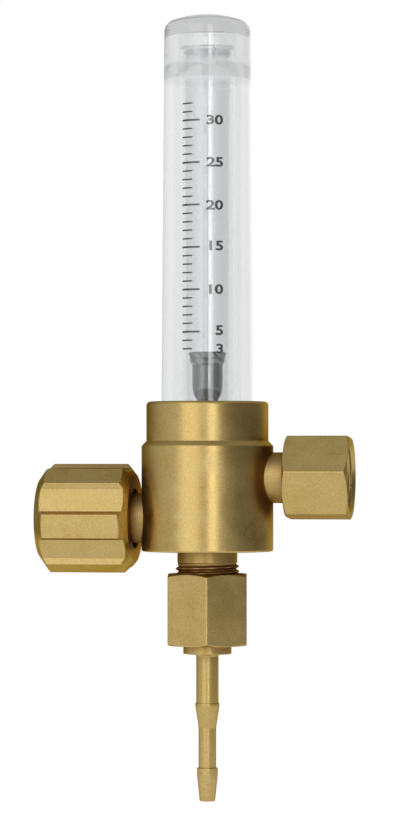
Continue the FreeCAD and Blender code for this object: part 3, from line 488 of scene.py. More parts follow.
rubber = plain_finish("moulded_black_rubber", "#151515", "#262626", 0.5, 0.75, 0.01)
fibre = plain_finish("pressed_white_fibre", "#dcdad2", "#efeeea", 0.4, 0.6, 0.01)
steel = plain_finish("turned_steel", "#8f9396", "#b4b8ba", 0.3, 0.28, 0.004, metallic=1.0)
bronze = plain_finish("sintered_bronze", "#5d4326", "#a8824d", 0.25, 0.55, 0.06, metallic=1.0)
float_metal = plain_finish(
    "satin_dark_metal_float", "#6d7672", "#87908b", 0.3, 0.14, 0.002, metallic=1.0
)
stop_plastic = plain_finish("translucent_plastic_stop", "#eef0f0", "#fafbfb", 1.0, 0.12, 0.01)
stop_shader = stop_plastic.node_tree.nodes["Principled BSDF"]
feed(stop_shader, {"Transmission Weight": 0.85, "IOR": 1.2})
ink = plain_finish("black_scale_ink", "#20272a", "#2c3437", 0.2, 0.6, 0.002)

CAD_FINISHES = {
    "black_rubber": rubber,
    "white_fibre": fibre,
    "steel": steel,
    "sintered_bronze": bronze,
    "float_metal": float_metal,
    "pale_plastic": stop_plastic,
    "turned_brass": body_brass,
    "nut_brass": supply_bar_brass,
    "knob_brass": knob_brass,
    "clear_cover": cover_plastic,
    "clear_tube": tube_plastic,
}
for part in frame["record"]["subparts"]:
    node = frame["nodes"][part["node"]]
    for number in range(len(node.material_slots)):
        node.material_slots[number].material = CAD_FINISHES[part["material_slot"]]
print("finished", len(frame["nodes"]), "packed nodes")

# %% [markdown]
# A turned piece is a profile carried round an axis. The profile is written as the corners that a drawing
# would show, each with its rounding, and one function turns the corners into points.

# %% From corners to a profile
EDGE = 0.12
ARC_STEPS = 5
SUPPORT = 0.04
SUPPORT_SHARE = 0.04
ROUNDING_SHARE = 0.45


def rounded(outline):
    """Corners (radius, height, rounding) to points.

    A rounding is a circle touching both edges: it starts rounding x tan(half the turn) before the corner,
    and its points mix start, corner and end by (1-t)^2, 2t(1-t)cos(half the turn) and t^2 over their sum.
    A point a hair outside either end keeps the shading of the flats even.
    """
    place = np.array([corner[:2] for corner in outline], float)
    back = np.roll(place, 1, axis=0) - place
    ahead = np.roll(place, -1, axis=0) - place
    points = []
    for number, corner in enumerate(outline):
        radius = corner[2]
        if radius == 0 or corner[0] == 0:
            points.append(place[number][None])
            continue
        before, after = np.linalg.norm(back[number]), np.linalg.norm(ahead[number])
        back_way, ahead_way = back[number] / before, ahead[number] / after
        half_turn = (math.pi - math.acos(np.clip(back_way @ ahead_way, -1, 1))) / 2
        shorter = min(before, after)
        cut = min(radius * math.tan(half_turn), ROUNDING_SHARE * shorter)
        start, end = place[number] + back_way * cut, place[number] + ahead_way * cut
        step = np.linspace(0, 1, ARC_STEPS + 1)[:, None]
        weights = (1 - step) ** 2, 2 * step * (1 - step) * math.cos(half_turn), step ** 2
        arc = weights[0] * start + weights[1] * place[number] + weights[2] * end
        arc /= sum(weights)
        support = min(SUPPORT, SUPPORT_SHARE * shorter)
        points += [(start + back_way * support)[None], arc, (end + ahead_way * support)[None]]
    return np.concatenate(points)


def refined(profile, spacing, wanted=None):
    """Adds points every so often along a profile, only where a test of the place wants them."""
    joined = np.vstack([profile, profile[:1]])
    travel = np.concatenate([[0], np.cumsum(np.linalg.norm(np.diff(joined, axis=0), axis=1))])
    extra = np.arange(spacing, travel[-1], spacing)
    places = np.column_stack([np.interp(extra, travel, joined[:, i]) for i in (0, 1)])
    wanted_here = extra < travel[-2 if profile[0, 0] == 0 else -1]
    if wanted is not None:
        wanted_here &= wanted(places[:, 0], places[:, 1])
    near = np.abs(extra[:, None] - travel[None]).min(axis=1) < spacing * 0.3
    along = np.sort(np.concatenate([travel[:-1], extra[wanted_here & ~near]]))
    return np.column_stack([np.interp(along, travel, joined[:, i]) for i in (0, 1)])


print("a 1 mm rounding takes", len(rounded([(5, 0, 1), (9, 0, 0), (9, 9, 0)])) - 2, "points")

# %% [markdown]
# The surface itself is a function of two parameters, one along the profile and one round the axis, worked
# out as whole arrays. A hexagon or a fluted knob is the same surface cut by a bar's section: at each place
# the smaller of the two radii counts, and taking that minimum softly rounds the edge between them.

# %% From a profile to a surface
UPRIGHT = np.eye(3)
TOWARDS_SUPPLY = np.array([[0, 0, 1], [0, 1, 0], [-1, 0, 0]], float)
TOWARDS_KNOB = np.array([[0, 0, -1], [-1, 0, 0], [0, 1, 0]], float)
ROUND_COLUMNS = 192
SLIM_COLUMNS = 128
WIDE_COLUMNS = 256
NOTCHED_COLUMNS = 360
EDGE_SOFTNESS = 0.35
SHARP_ANGLE = math.radians(32)


def soft_minimum(first, second, softness=EDGE_SOFTNESS):
    """The smaller of two values, blended by a parabola where they differ by less than the softness."""
    share = np.clip(0.5 + 0.5 * (second - first) / softness, 0, 1)
    return second + (first - second) * share - softness * share * (1 - share)


def smooth_flats(mesh):
    """Shades a mesh smooth, but for the edges that turn by more than the sharp angle."""
    mesh.shade_smooth()
    mesh.set_sharp_from_angle(angle=SHARP_ANGLE)


def skin(name, grid, closed):
    """Covers a grid of points with quads. Its columns close round the axis.

    Its rows close too, round a bore, or else the first and last row are single points on the axis.
    """
    rows, columns = grid.shape[:2]
    points = grid.reshape(-1, 3)
    if not closed:
        rows -= 2
        middles = grid[[0, -1]].mean(axis=1)
        points = np.vstack([grid[1:-1].reshape(-1, 3), middles])
    here = np.arange(columns)[None]
    beside = (here + 1) % columns
    row = np.arange(rows if closed else rows - 1)[:, None]
    after = (row + 1) % rows
    low, high = row * columns, after * columns
    corners = np.broadcast_arrays(low + here, low + beside, high + beside, high + here)
    faces = np.stack(corners, axis=-1).reshape(-1, 4).tolist()
    if not closed:
        last_row = (rows - 1) * columns
        start = np.full(columns, rows * columns)
        faces += np.stack([start, beside[0], here[0]], axis=-1).tolist()
        faces += np.stack([last_row + here[0], last_row + beside[0], start + 1], axis=-1).tolist()
    piece = new_object(name, points, faces)
    smooth_flats(piece.data)
    return piece


def turned(name, profile, way=UPRIGHT, origin=upright, section=None, relief=None, columns=ROUND_COLUMNS):
    """A profile carried round an axis: x = r cos a, y = r sin a, z = height, turned and moved to its place.

    A section gives the bar's own radius at each angle. A relief changes the radii, as a thread does.
    """
    angle = np.linspace(0, 2 * math.pi, columns, endpoint=False)
    if section is not None:
        angle = np.arctan2(section[:, 1], section[:, 0])
    radius = np.repeat(profile[:, :1], len(angle), axis=1)
    height = np.repeat(profile[:, 1:], len(angle), axis=1)
    if section is not None:
        radius = soft_minimum(radius, np.hypot(section[:, 0], section[:, 1]))
    if relief is not None:
        radius = relief(angle, radius, height)
    local = np.stack([radius * np.cos(angle), radius * np.sin(angle), height], axis=-1)
    return skin(name, local @ way.T + np.array(origin), closed=profile[0, 0] != 0)


def finish(piece, material, slot, body, *nodes):
    """Gives a piece its material, and says what it rides on and stands for. The slot is not used."""
    piece.data.materials.clear()
    piece.data.materials.append(material)
    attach(piece, body)
    if nodes:
        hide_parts(*nodes)
    print("%-16s %6d faces" % (piece.name, len(piece.data.polygons)))
    return piece


def cut_away(piece, cutter):
    """Removes a cutter's volume from a piece, as a drill does, and deletes the cutter."""
    drill = piece.modifiers.new("drill", "BOOLEAN")
    drill.object = cutter
    drill.solver = "EXACT"
    graph = bpy.context.evaluated_depsgraph_get()
    drilled = bpy.data.meshes.new_from_object(piece.evaluated_get(graph))
    piece.modifiers.clear()
    piece.data = drilled
    smooth_flats(drilled)
    bpy.data.objects.remove(cutter)


# %% [markdown]
# A screw thread is a ridge that climbs one pitch in each turn. The height over the pitch, less the angle
# over a full turn, says how far a point is from the ridge. The outlet has an M18 x 1.5 male thread, and
# both union nuts have the matching female one.

# %% Thread
PITCH = 1.5
THREAD_ROOT = 8.1
THREAD_DEPTH = 0.84
NUT_THREAD_DEPTH = 0.8
THREAD_FADE = 1.0
THREAD_CHAMFER = 0.6
RIDGE_FOOT = 0.9
RIDGE_FLANK = 0.75


def thread(low, high, nearest, farthest, depth, start=0.0):
    """A relief that raises a trapezoid ridge between two heights, on walls between two radii.

    The distance from the ridge is (height - start) / pitch - angle / (2 pi), folded into one turn.
    """

    def relief(angle, radius, height):
        turns = (height - start) / PITCH - angle / (2 * math.pi)
        distance = np.abs(turns % 1 - 0.5) * 2
        ridge = np.clip((RIDGE_FOOT - distance) / RIDGE_FLANK, 0, 1)
        fade = np.clip((height - low) / THREAD_FADE, 0, 1) * np.clip((high - height) / THREAD_FADE, 0, 1)
        on_wall = (radius > nearest) & (radius < farthest)
        return radius + depth * ridge * fade * on_wall

    return relief


print("crest radius of the outlet thread: %.2f mm" % (THREAD_ROOT + THREAD_DEPTH))

# %% [markdown]
# The body is turned from bar: a collar that holds the clear cover, a slightly wider barrel with a bevel
# and the two side ports, a short neck, and the outlet thread. It is carried round as one profile, and the
# two ports are then drilled from the sides as on the real one.

# %% Body
BODY_RADIUS = body_high[1]
BODY_BOTTOM = -20.6
SHOULDER_Z = 10.3
SHOULDER_DROP = 1.4
COLLAR_RADIUS = 17.1
COLLAR_ROUND = 1.1
BODY_EDGE = 0.5
NECK_RADIUS = 8.4
NECK_END = -23.8
OUTLET_END = body_low[2]
OUTLET_BORE = 2.3
PASSAGE = 2.6
COVER_SOCKET = (13.0, 11.5)
TUBE_SOCKET = (7.6, 7.9)
DETAIL_STEP = 0.12
DRILL_REACH = BODY_RADIUS + 4

body_outline = [
    (0, VALVE_Z + OUTLET_BORE, 0),
    (OUTLET_BORE, VALVE_Z + OUTLET_BORE, EDGE),
    (OUTLET_BORE, OUTLET_END, EDGE),
    (THREAD_ROOT - THREAD_CHAMFER, OUTLET_END, EDGE),
    (THREAD_ROOT, OUTLET_END + THREAD_CHAMFER, EDGE),
    (THREAD_ROOT, NECK_END, EDGE),
    (NECK_RADIUS, NECK_END, EDGE),
    (NECK_RADIUS, BODY_BOTTOM, 0.3),
    (BODY_RADIUS, BODY_BOTTOM, BODY_EDGE),
    (BODY_RADIUS, SHOULDER_Z - SHOULDER_DROP, BODY_EDGE),
    (COLLAR_RADIUS, SHOULDER_Z, EDGE),
    (COLLAR_RADIUS, COLLAR_TOP, COLLAR_ROUND),
    (COVER_SOCKET[0], COLLAR_TOP, EDGE),
    (COVER_SOCKET[0], COVER_SOCKET[1], EDGE),
    (TUBE_SOCKET[0], COVER_SOCKET[1], EDGE),
    (TUBE_SOCKET[0], TUBE_SOCKET[1], EDGE),
    (PASSAGE, TUBE_SOCKET[1], EDGE),
    (PASSAGE, -PASSAGE, EDGE),
    (0, -PASSAGE, 0),
]
on_thread = refined(
    rounded(body_outline),
    DETAIL_STEP,
    lambda r, z: (z < NECK_END) & (z > OUTLET_END + 0.3) & (r > THREAD_ROOT - 0.1),
)
outlet_thread = thread(OUTLET_END, NECK_END, THREAD_ROOT - 0.2, THREAD_ROOT + 0.05, THREAD_DEPTH)
body = turned("body_bar", on_thread, relief=outlet_thread, columns=WIDE_COLUMNS)


def stepped_drill(name, steps, way, origin):
    """A stepped drill: the radius of each step with the distance at which it starts."""
    outline = [(0, steps[0][1])]
    for number, (radius, start) in enumerate(steps):
        end = steps[number + 1][1] if number + 1 < len(steps) else DRILL_REACH
        outline += [(radius, start), (radius, end)]
    outline.append((0, DRILL_REACH))
    return turned(name, np.array(outline)[::-1], way, origin, columns=SLIM_COLUMNS)


INLET_STEPS = [(2.6, 0.0), (6.6, 9.9), (7.2, 15.6)]
VALVE_STEPS = [(1.3, 0.0), (3.1, 2.8), (4.6, 5.0), (6.2, 10.2), (7.1, 15.4)]
cut_away(body, stepped_drill("inlet_drill", INLET_STEPS, TOWARDS_SUPPLY, supply))
cut_away(body, stepped_drill("valve_drill", VALVE_STEPS, TOWARDS_KNOB, valve))
finish(body, body_brass, "turned_brass", "meter", "body")

# %% [markdown]
# The supply nipple and the valve's bonnet are short turned pieces that stand out of the two ports. The
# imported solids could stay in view, but their ends show beside the nut and the knob, so they get rounded
# edges. Distances are counted from the tube's axis, towards the supply and towards the knob.

# %% Nipple and bonnet
nipple_low, nipple_high = extent("inlet_nipple")
NIPPLE_START = nipple_low[0] - AXIS_X
NIPPLE_FACE = nipple_high[0] - AXIS_X
NIPPLE_BORE = 2.5
NIPPLE_STEM = 6.5
NIPPLE_NECK = (7.1, 16.4)
FLANGE_RADIUS = 7.95
FLANGE_BACK = NIPPLE_FACE - 3.5
FILTER_RADIUS = 4.3
FILTER_FLOOR = NIPPLE_FACE - 2.2
nipple = turned(
    "supply_nipple",
    rounded([
        (NIPPLE_BORE, NIPPLE_START, EDGE),
        (NIPPLE_STEM, NIPPLE_START, EDGE),
        (NIPPLE_STEM, NIPPLE_NECK[1], EDGE),
        (*NIPPLE_NECK, EDGE),
        (NIPPLE_NECK[0], FLANGE_BACK, EDGE),
        (FLANGE_RADIUS, FLANGE_BACK, EDGE),
        (FLANGE_RADIUS, NIPPLE_FACE, EDGE),
        (FILTER_RADIUS, NIPPLE_FACE, EDGE),
        (FILTER_RADIUS, FILTER_FLOOR, EDGE),
        (NIPPLE_BORE, FILTER_FLOOR, EDGE),
    ]),
    TOWARDS_SUPPLY,
    supply,
)
finish(nipple, supply_brass, "turned_brass", "meter", "inlet_nipple")

BONNET_END = AXIS_X - bonnet_low[0]
BONNET_BORE = 3.08
BONNET_STEM = (6.1, 10.3)
BONNET_NECK = (7.0, 16.2)
bonnet = turned(
    "valve_bonnet",
    rounded([
        (BONNET_BORE, BONNET_STEM[1], EDGE),
        (*BONNET_STEM, EDGE),
        (BONNET_STEM[0], BONNET_NECK[1], EDGE),
        (*BONNET_NECK, EDGE),
        (BONNET_NECK[0], BONNET_END, 0.5),
        (BONNET_BORE, BONNET_END, EDGE),
    ]),
    TOWARDS_KNOB,
    valve,
)
finish(bonnet, valve_brass, "turned_brass", "meter", "bonnet")

# %% [markdown]
# The hose tail: a flange inside the nut, a shoulder, a plain stem and two barbs that a hose is pushed over.
# Small cylinders and cones could be joined into it, but one profile keeps its lines running through. Its
# heights are counted down from the top.

# %% Hose tail
TAIL_TOP = tail_high[2]
TAIL_END = tail_low[2]
TAIL_BACK = TAIL_TOP - 5.3
SHOULDER = TAIL_BACK - 7.0
UPPER_BARB = SHOULDER - 13.8
BARB_RIM = 0.7
UPPER_TAPER = 6.1
BETWEEN_BARBS = 11.3
TAPER_END = UPPER_BARB - BARB_RIM - UPPER_TAPER
LOWER_BARB = TAPER_END - BETWEEN_BARBS
TAIL_BORE = 1.4
UPPER_BARB_RADIUS = 3.38
LOWER_BARB_RADIUS = 2.9
UPPER_STEM_RADIUS = 3.12
LOWER_STEM_RADIUS = 2.47
SHOULDER_RADIUS = 6.75
tail = turned(
    "barbed_tail",
    rounded([
        (TAIL_BORE, TAIL_TOP, EDGE),
        (TAIL_BORE, TAIL_END, 0.1),
        (2.16, TAIL_END, 0.25),
        (LOWER_BARB_RADIUS, LOWER_BARB - 2.1, 0.8),
        (LOWER_BARB_RADIUS, LOWER_BARB, 0.1),
        (LOWER_STEM_RADIUS, LOWER_BARB, 0.05),
        (LOWER_STEM_RADIUS, TAPER_END, 1.0),
        (UPPER_BARB_RADIUS, UPPER_BARB - BARB_RIM, 0.3),
        (UPPER_BARB_RADIUS, UPPER_BARB, 0.1),
        (UPPER_STEM_RADIUS, UPPER_BARB, 0.05),
        (UPPER_STEM_RADIUS, SHOULDER, 0.8),
        (SHOULDER_RADIUS, SHOULDER, 0.25),
        (SHOULDER_RADIUS, TAIL_BACK, EDGE),
        (FLANGE_RADIUS, TAIL_BACK, EDGE),
        (FLANGE_RADIUS, TAIL_TOP, EDGE),
    ]),
    columns=SLIM_COLUMNS,
)
finish(tail, body_brass, "turned_brass", "hose_tail", "hose_tail")

# %% [markdown]
# Both union nuts are cut from 22 mm hexagon bar. Their ends are chamfered on the lathe, which leaves the
# curved line across each flat, and their bores are threaded behind a plain mouth. The chamfer is a cone
# that the hexagon's section cuts off, so the curved lines come by themselves. The tail nut's thread starts
# half a turn off the outlet's, so that the two lie between each other.

# %% Union nuts
NUT_FLATS = 22.0
NUT_CORNER_ROUND = 0.45
NUT_FACE = 11.1
CHAMFER_SLOPE = 0.42
NUT_OUTSIDE = 13.4
SUPPLY_WALL = 2.7
TAIL_WALL = 4.6
NUT_RELIEF = (9.3, 4.9)
NUT_THREAD = 9.0
NUT_MOUTH = 0.9
MOUTH_PLAIN = 1.5
SUPPLY_HOLE = 7.18
TAIL_HOLE = 6.83
SUPPLY_NUT_TURN = 270 - 7.6
TAIL_NUT_TURN = 30 + 8.3
SECTION_STEP = 0.4


def hexagon_section(flats, turn):
    """A hexagon's outline with rounded corners, from its width across the flats and a corner's angle."""
    angle = np.radians(turn + 60 * np.arange(6))
    corner = flats / 2 / math.cos(math.radians(30))
    outline = [(corner * math.cos(a), corner * math.sin(a), NUT_CORNER_ROUND) for a in angle]
    return refined(rounded(outline), SECTION_STEP)


def union_nut(name, length, wall, hole, turn, way, origin, start=0.0):
    """A hexagon nut from its end wall at height 0 to its open mouth."""
    fall = (NUT_OUTSIDE - NUT_FACE) * CHAMFER_SLOPE
    first_turn = wall + NUT_RELIEF[1]
    outline = [
        (hole, 0, 0.2),
        (NUT_FACE, 0, 0.2),
        (NUT_OUTSIDE, fall, 0.1),
        (NUT_OUTSIDE, length - fall, 0.1),
        (NUT_FACE, length, 0.2),
        (NUT_THREAD + NUT_MOUTH, length, EDGE),
        (NUT_THREAD, length - NUT_MOUTH, EDGE),
        (NUT_THREAD, first_turn, EDGE),
        (NUT_RELIEF[0], first_turn, EDGE),
        (NUT_RELIEF[0], wall, EDGE),
        (hole, wall, EDGE),
    ]

    def near_detail(radius, height):
        chamfer = (height < fall) | (height > length - fall)
        outside = (radius > NUT_FACE - 0.3) & chamfer
        inside = (np.abs(radius - NUT_THREAD) < 0.05) & (height > first_turn)
        return outside | inside

    profile = refined(rounded(outline), DETAIL_STEP, near_detail)
    relief = thread(
        first_turn, length - MOUTH_PLAIN, NUT_THREAD - 0.05, NUT_THREAD + 0.1, -NUT_THREAD_DEPTH, start
    )
    return turned(name, profile, way, origin, hexagon_section(NUT_FLATS, turn), relief)


inlet_nut_low, inlet_nut_high = extent("inlet_nut")
outlet_nut_low, outlet_nut_high = extent("outlet_nut")
supply_length = inlet_nut_high[0] - inlet_nut_low[0]
tail_length = outlet_nut_high[2] - outlet_nut_low[2]
between_turns = -outlet_nut_low[2] - PITCH / 2
place = (inlet_nut_low[0], 0, 0)
inlet_nut = union_nut(
    "supply_nut", supply_length, SUPPLY_WALL, SUPPLY_HOLE, SUPPLY_NUT_TURN, TOWARDS_SUPPLY, place
)
finish(inlet_nut, supply_bar_brass, "nut_brass", "inlet_nut", "inlet_nut")
place = (AXIS_X, 0, outlet_nut_low[2])
outlet_nut = union_nut(
    "tail_nut", tail_length, TAIL_WALL, TAIL_HOLE, TAIL_NUT_TURN, UPRIGHT, place, between_turns
)
finish(outlet_nut, outlet_bar_brass, "nut_brass", "outlet_nut", "outlet_nut")

# %% [markdown]
# The knob is a brass bar with six flat lands and six lower flats between them, its ends turned to a cone.
# Cutters could mill it out of a cylinder, but their edges would stay rough. So its section is one outline
# of twelve sides with a corner between each two, and the turned cone cuts it off at both ends.

# %% Knob
KNOB_RADIUS = 15.5
KNOB_FACE = (11.2, 3.1)
KNOB_BACK = (12.4, 2.5)
LANDS = 6
LAND_HALF_WIDTH = 3.3
LAND_TURN = -8.0
FLOOR_HEIGHT = 13.7
FLOOR_HALF_WIDTH = 3.29
KNOB_ROUND = 0.15
KNOB_RECESS = (8.3, 9.0)
KNOB_POCKET = (5.2, 4.2)
KNOB_BORE = 2.52

knob_low, knob_high = extent("knob")
KNOB_START = AXIS_X - knob_high[0]
KNOB_FINISH = AXIS_X - knob_low[0]
land_height = math.sqrt(KNOB_RADIUS ** 2 - LAND_HALF_WIDTH ** 2)
knob_corners = []
for number in range(LANDS):
    for height, half_width, turn in (
        (land_height, LAND_HALF_WIDTH, LAND_TURN),
        (FLOOR_HEIGHT, FLOOR_HALF_WIDTH, LAND_TURN + 180 / LANDS),
    ):
        angle = math.radians(turn + 360 / LANDS * number)
        out = np.array([math.cos(angle), math.sin(angle)])
        along = np.array([-math.sin(angle), math.cos(angle)])
        for side in (-1, 1):
            knob_corners.append((*(out * height + along * half_width * side), KNOB_ROUND))
knob_section = refined(rounded(knob_corners), SECTION_STEP)

past = KNOB_RADIUS + 0.8


def cone_reach(face):
    """How far along the axis a coned end runs from its face's radius to just past the lands."""
    return (past - face[0]) * face[1] / (KNOB_RADIUS - face[0])


back_reach = cone_reach(KNOB_BACK)
face_reach = cone_reach(KNOB_FACE)
knob_outline = [
    (KNOB_BORE, KNOB_START + KNOB_RECESS[1], EDGE),
    (KNOB_RECESS[0], KNOB_START + KNOB_RECESS[1], EDGE),
    (KNOB_RECESS[0], KNOB_START, 0.3),
    (KNOB_BACK[0], KNOB_START, 0.3),
    (past, KNOB_START + back_reach, 0.1),
    (past, KNOB_FINISH - face_reach, 0.1),
    (KNOB_FACE[0], KNOB_FINISH, 0.3),
    (KNOB_POCKET[0], KNOB_FINISH, 0.25),
    (KNOB_POCKET[0], KNOB_FINISH - KNOB_POCKET[1], EDGE),
    (KNOB_BORE, KNOB_FINISH - KNOB_POCKET[1], EDGE),
]


def on_cones(radius, height):
    """True on the outside of the two coned ends."""
    ends = (height < KNOB_START + back_reach) | (height > KNOB_FINISH - face_reach)
    return ends & (radius > KNOB_FACE[0] - 0.5)


knob_profile = refined(rounded(knob_outline[::-1]), DETAIL_STEP, on_cones)
knob = turned("fluted_knob", knob_profile, TOWARDS_KNOB, valve, knob_section)
finish(knob, knob_brass, "knob_brass", "knob", "knob")

# %% [markdown]
# The float: a head of two thin flared rims with slanted notches that the gas spins it by, a straight skirt
# and a rounded nose. The notches are a relief: within a band that leans round the head, the radius goes
# down to the notch's floor.

# %% Float
float_low, float_high = extent("float")
FLOAT_FOOT = float_low[2]
FLOAT_TOP = float_high[2]
HEAD_EDGE = FLOAT_TOP - 0.4
UPPER_FOOT = HEAD_EDGE - 1.4
HEAD_FOOT = HEAD_EDGE - 3.0
HEAD_RADIUS = 5.18
SKIRT_RADIUS = 4.3
NOTCHES = 8
NOTCH_WIDTH = 0.7
NOTCH_EDGE = 0.08
NOTCH_STEP = 0.15
NOTCH_FLOOR = HEAD_RADIUS - 0.6
NOTCH_LEAN = math.tan(math.radians(-50))


def float_notches(angle, radius, height):
    """Lowers the radius within leaning bands: round distance = lean x height, repeated eight times."""
    step = 2 * math.pi / NOTCHES
    middle = (HEAD_EDGE + HEAD_FOOT) / 2
    round_way = angle - NOTCH_LEAN * (height - middle) / HEAD_RADIUS
    offset = ((round_way + math.pi / 2 + step / 2) % step - step / 2) * HEAD_RADIUS
    depth = np.clip((NOTCH_WIDTH / 2 + NOTCH_EDGE - np.abs(offset)) / (2 * NOTCH_EDGE), 0, 1)
    return radius - depth * (height > HEAD_FOOT) * np.clip(radius - NOTCH_FLOOR, 0, None)


float_outline = [
    (0, FLOAT_FOOT, 0),
    (2.2, FLOAT_FOOT, 0.3),
    (2.75, FLOAT_FOOT + 2.0, 3.0),
    (3.85, FLOAT_FOOT + 3.7, 4.0),
    (SKIRT_RADIUS, FLOAT_FOOT + 5.8, 5.0),
    (SKIRT_RADIUS, HEAD_FOOT - 0.5, 0.2),
    (4.6, HEAD_FOOT, 0.2),
    (5.0, UPPER_FOOT - 0.3, 0.08),
    (4.8, UPPER_FOOT, 0.08),
    (HEAD_RADIUS, HEAD_EDGE, 0.12),
    (4.68, FLOAT_TOP - 0.15, 0.1),
    (0, FLOAT_TOP, 0),
]
float_profile = refined(
    rounded(float_outline), NOTCH_STEP, lambda r, z: (z > HEAD_FOOT - 0.6) & (r > SKIRT_RADIUS - 0.1)
)
float_piece = turned("notched_float", float_profile, relief=float_notches, columns=NOTCHED_COLUMNS)
finish(float_piece, float_metal, "float_metal", "float", "float")

# %% [markdown]
# The cover is one thick moulding. Its crown is part of a large sphere that runs into the side wall through
# a small one: two circles that touch from inside, so the small centre lies at the difference of their radii
# from the large centre. Inside, a cone leads the bore in to a pocket that steadies the metering tube.

# %% Clear cover
cover_low, cover_high = extent("cover_tube")
COVER_FOOT_RADIUS = 12.9
COVER_TOP_RADIUS = 12.1
CROWN_RADIUS = 29.0
CROWN_CORNER = 3.5
COVER_BORE = 9.8
COVER_APEX = cover_high[2]
POCKET_TOP = COVER_APEX - 5.7
POCKET_RADIUS = 7.6
CONE_TOP = POCKET_TOP - 8.4
CONE_START = CONE_TOP - 4.2
RING_Z = cover_low[2] + 5.2
RING_HALF_HEIGHT = 0.92
RING_FLOOR = COVER_FOOT_RADIUS - 1.78

small_centre_radius = COVER_TOP_RADIUS - CROWN_CORNER
large_centre_z = COVER_APEX - CROWN_RADIUS
gap = CROWN_RADIUS - CROWN_CORNER
small_centre_z = large_centre_z + math.sqrt(gap ** 2 - small_centre_radius ** 2)
meeting = math.atan2(small_centre_z - large_centre_z, small_centre_radius)
arcs = [
    np.column_stack([radius * np.cos(turn), radius * np.sin(turn)]) + centre
    for radius, centre, turn in (
        (CROWN_CORNER, (small_centre_radius, small_centre_z), np.linspace(0, meeting, 16)),
        (CROWN_RADIUS, (0, large_centre_z), np.linspace(meeting, math.pi / 2, 24)[1:]),
    )
]
arcs[1][-1, 0] = 0
cover_inside = rounded([
    (0, POCKET_TOP, 0),
    (POCKET_RADIUS, POCKET_TOP, 0.4),
    (POCKET_RADIUS, CONE_TOP, 0.4),
    (COVER_BORE, CONE_START, 0.8),
    (COVER_BORE, cover_low[2], EDGE),
    (COVER_FOOT_RADIUS, cover_low[2], EDGE),
    (COVER_FOOT_RADIUS, RING_Z - RING_HALF_HEIGHT, EDGE),
    (RING_FLOOR, RING_Z - RING_HALF_HEIGHT, EDGE),
    (RING_FLOOR, RING_Z + RING_HALF_HEIGHT, EDGE),
    (COVER_FOOT_RADIUS, RING_Z + RING_HALF_HEIGHT, EDGE),
    (COVER_FOOT_RADIUS, COLLAR_TOP, 0),
    (COVER_TOP_RADIUS, small_centre_z, 0),
])[:-1]
cover_profile = np.vstack([cover_inside, *arcs])
cover = turned("domed_cover", cover_profile, columns=WIDE_COLUMNS)
finish(cover, cover_plastic, "clear_cover", "meter", "cover_tube")

# %% [markdown]
# The metering tube's bore widens upwards, so the float rides higher the more gas flows. Four ports near its
# top let the gas out: two blocks, each longer than the tube is wide, cut two of them at a time.

# %% Metering tube
TUBE_RADIUS = (tube_high[0] - tube_low[0]) / 2
TUBE_FOOT_BORE = 5.7
TUBE_TOP_BORE = 6.4
PORT_SIZE = (2.8, 4.2)
PORT_Z = CONE_START + 1.9
PORT_TURN = 35.0

metering_tube = turned(
    "scale_tube",
    rounded([
        (TUBE_FOOT_BORE, tube_low[2], EDGE),
        (TUBE_RADIUS, tube_low[2], EDGE),
        (TUBE_RADIUS, tube_high[2], EDGE),
        (TUBE_TOP_BORE, tube_high[2], EDGE),
    ]),
    columns=WIDE_COLUMNS,
)
BLOCK_SIGNS = np.array([[x, y, z] for z in (-1, 1) for y in (-1, 1) for x in (-1, 1)])
BLOCK_FACES = [(0, 2, 3, 1), (4, 5, 7, 6), (0, 1, 5, 4), (1, 3, 7, 5), (3, 2, 6, 7), (2, 0, 4, 6)]
for pair in range(2):
    turn = math.radians(PORT_TURN + 90 * pair)
    out = np.array([math.sin(turn), -math.cos(turn), 0])
    side = np.array([math.cos(turn), math.sin(turn), 0])
    up = np.array([0, 0, 1])
    halves = np.array([side * PORT_SIZE[0] / 2, out * (TUBE_RADIUS + 1), up * PORT_SIZE[1] / 2])
    block = BLOCK_SIGNS @ halves + [AXIS_X, 0, PORT_Z]
    cut_away(metering_tube, new_object("port_block", block, BLOCK_FACES))
finish(metering_tube, tube_plastic, "clear_tube", "meter", "metering_tube")

# %% [markdown]
# The scale is printed on the metering tube: a short line for each litre a minute, a long one at each
# number. It could be an image, but real ink is a thin skin with its own edge, so each line is a thin block
# bent round the tube.

# %% Printed scale
FIRST_FLOW = 3
LAST_FLOW = 32
NUMBERED = (3, 5, 10, 15, 20, 25, 30)
LONG_MARKS = (5, 10, 15, 20, 25, 30)
FIRST_MARK_Z = 35.87
MARK_STEP = 2.352
MARK_START = -52.5
SHORT_MARK_END = -22.5
LONG_MARK_END = -6.5
MARK_HEIGHT = 0.42
LONG_MARK_HEIGHT = 0.55
INK_THICKNESS = 0.03
DIGIT_HEIGHT = 2.75
DIGIT_WIDENING = 1.3
DIGIT_RIGHT = 42.0
DIGIT_BOLDNESS = 0.03
MARK_COLUMNS = 13
MARK_POINTS = MARK_COLUMNS * 4


def bent(points):
    """Bends flat print round the tube: the way across becomes an angle, the thickness a radius."""
    radius = TUBE_RADIUS + points[:, 2]
    angle = points[:, 0] / TUBE_RADIUS
    return np.column_stack([AXIS_X + radius * np.sin(angle), -radius * np.cos(angle), points[:, 1]])


def mark_block(start, end, height_z, thickness):
    """Points of one line of the scale: rings of four corners, side by side from start to end."""
    across = np.radians(np.linspace(start, end, MARK_COLUMNS)) * TUBE_RADIUS
    ring = np.array([[-1, 0], [1, 0], [1, 1], [-1, 1]]) * [thickness / 2, INK_THICKNESS]
    points = np.zeros((MARK_COLUMNS, 4, 3))
    points[:, :, 0] = across[:, None]
    points[:, :, 1] = height_z + ring[:, 0]
    points[:, :, 2] = ring[:, 1]
    return points.reshape(-1, 3)


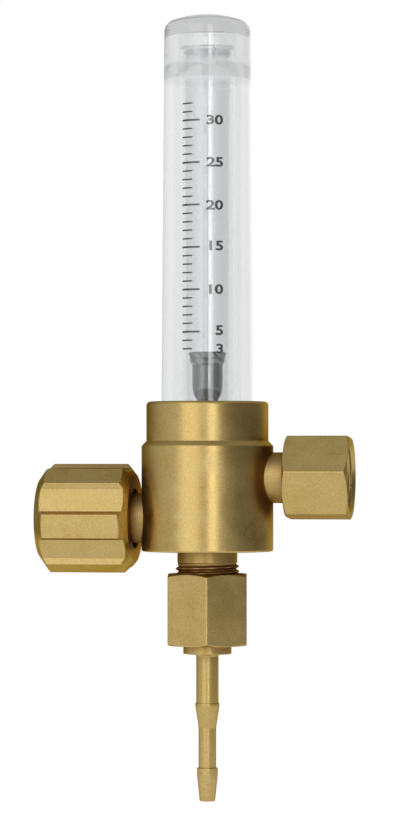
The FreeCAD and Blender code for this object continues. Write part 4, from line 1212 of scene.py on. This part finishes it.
strip = np.arange(MARK_COLUMNS - 1)[:, None] * 4
around = np.arange(4)[None]
sides = np.stack(
    [strip + around, strip + 4 + around, strip + 4 + (around + 1) % 4, strip + (around + 1) % 4], axis=-1
).reshape(-1, 4)
block_faces = sides.tolist() + [[0, 1, 2, 3], [MARK_POINTS - corner for corner in (1, 2, 3, 4)]]
points, faces = [], []
for flow in range(FIRST_FLOW, LAST_FLOW + 1):
    long = flow in LONG_MARKS
    end = LONG_MARK_END if long else SHORT_MARK_END
    thickness = LONG_MARK_HEIGHT if long else MARK_HEIGHT
    start = MARK_POINTS * len(points)
    points.append(mark_block(MARK_START, end, FIRST_MARK_Z + MARK_STEP * (flow - FIRST_FLOW), thickness))
    faces += [[start + corner for corner in face] for face in block_faces]
marks = new_object("scale_marks", bent(np.vstack(points)), faces)
finish(marks, ink, "black_rubber", "meter")

# %% [markdown]
# The numbers are the program's own plain letters, made a mesh, brought to the height of the photo's, and
# widened. They end at the same place on the right, each level with its long line.

# %% Numbers
number_points, number_faces, count = [], [], 0
for flow in NUMBERED:
    text = bpy.data.curves.new("digits", "FONT")
    text.body = str(flow)
    text.size = 1.0
    text.offset = DIGIT_BOLDNESS
    text.extrude = 0.01
    text.resolution_u = 4
    writing = bpy.data.objects.new("digits", text)
    bpy.context.scene.collection.objects.link(writing)
    flat = bpy.data.meshes.new_from_object(writing.evaluated_get(bpy.context.evaluated_depsgraph_get()))
    shape = np.zeros(len(flat.vertices) * 3)
    flat.vertices.foreach_get("co", shape)
    shape = shape.reshape(-1, 3)
    size = DIGIT_HEIGHT / np.ptp(shape[:, 1])
    place_z = FIRST_MARK_Z + MARK_STEP * (flow - FIRST_FLOW)
    across = (shape[:, 0] - shape[:, 0].max()) * size * DIGIT_WIDENING
    shape[:, 0] = across + math.radians(DIGIT_RIGHT) * TUBE_RADIUS
    shape[:, 1] = (shape[:, 1] - shape[:, 1].mean()) * size + place_z
    shape[:, 2] = np.where(shape[:, 2] > 0, INK_THICKNESS, 0.0)
    number_points.append(bent(shape))
    number_faces += [[count + corner for corner in face.vertices] for face in flat.polygons]
    count += len(shape)
    bpy.data.objects.remove(writing)
numbers = new_object("scale_numbers", np.vstack(number_points), number_faces)
finish(numbers, ink, "black_rubber", "meter")
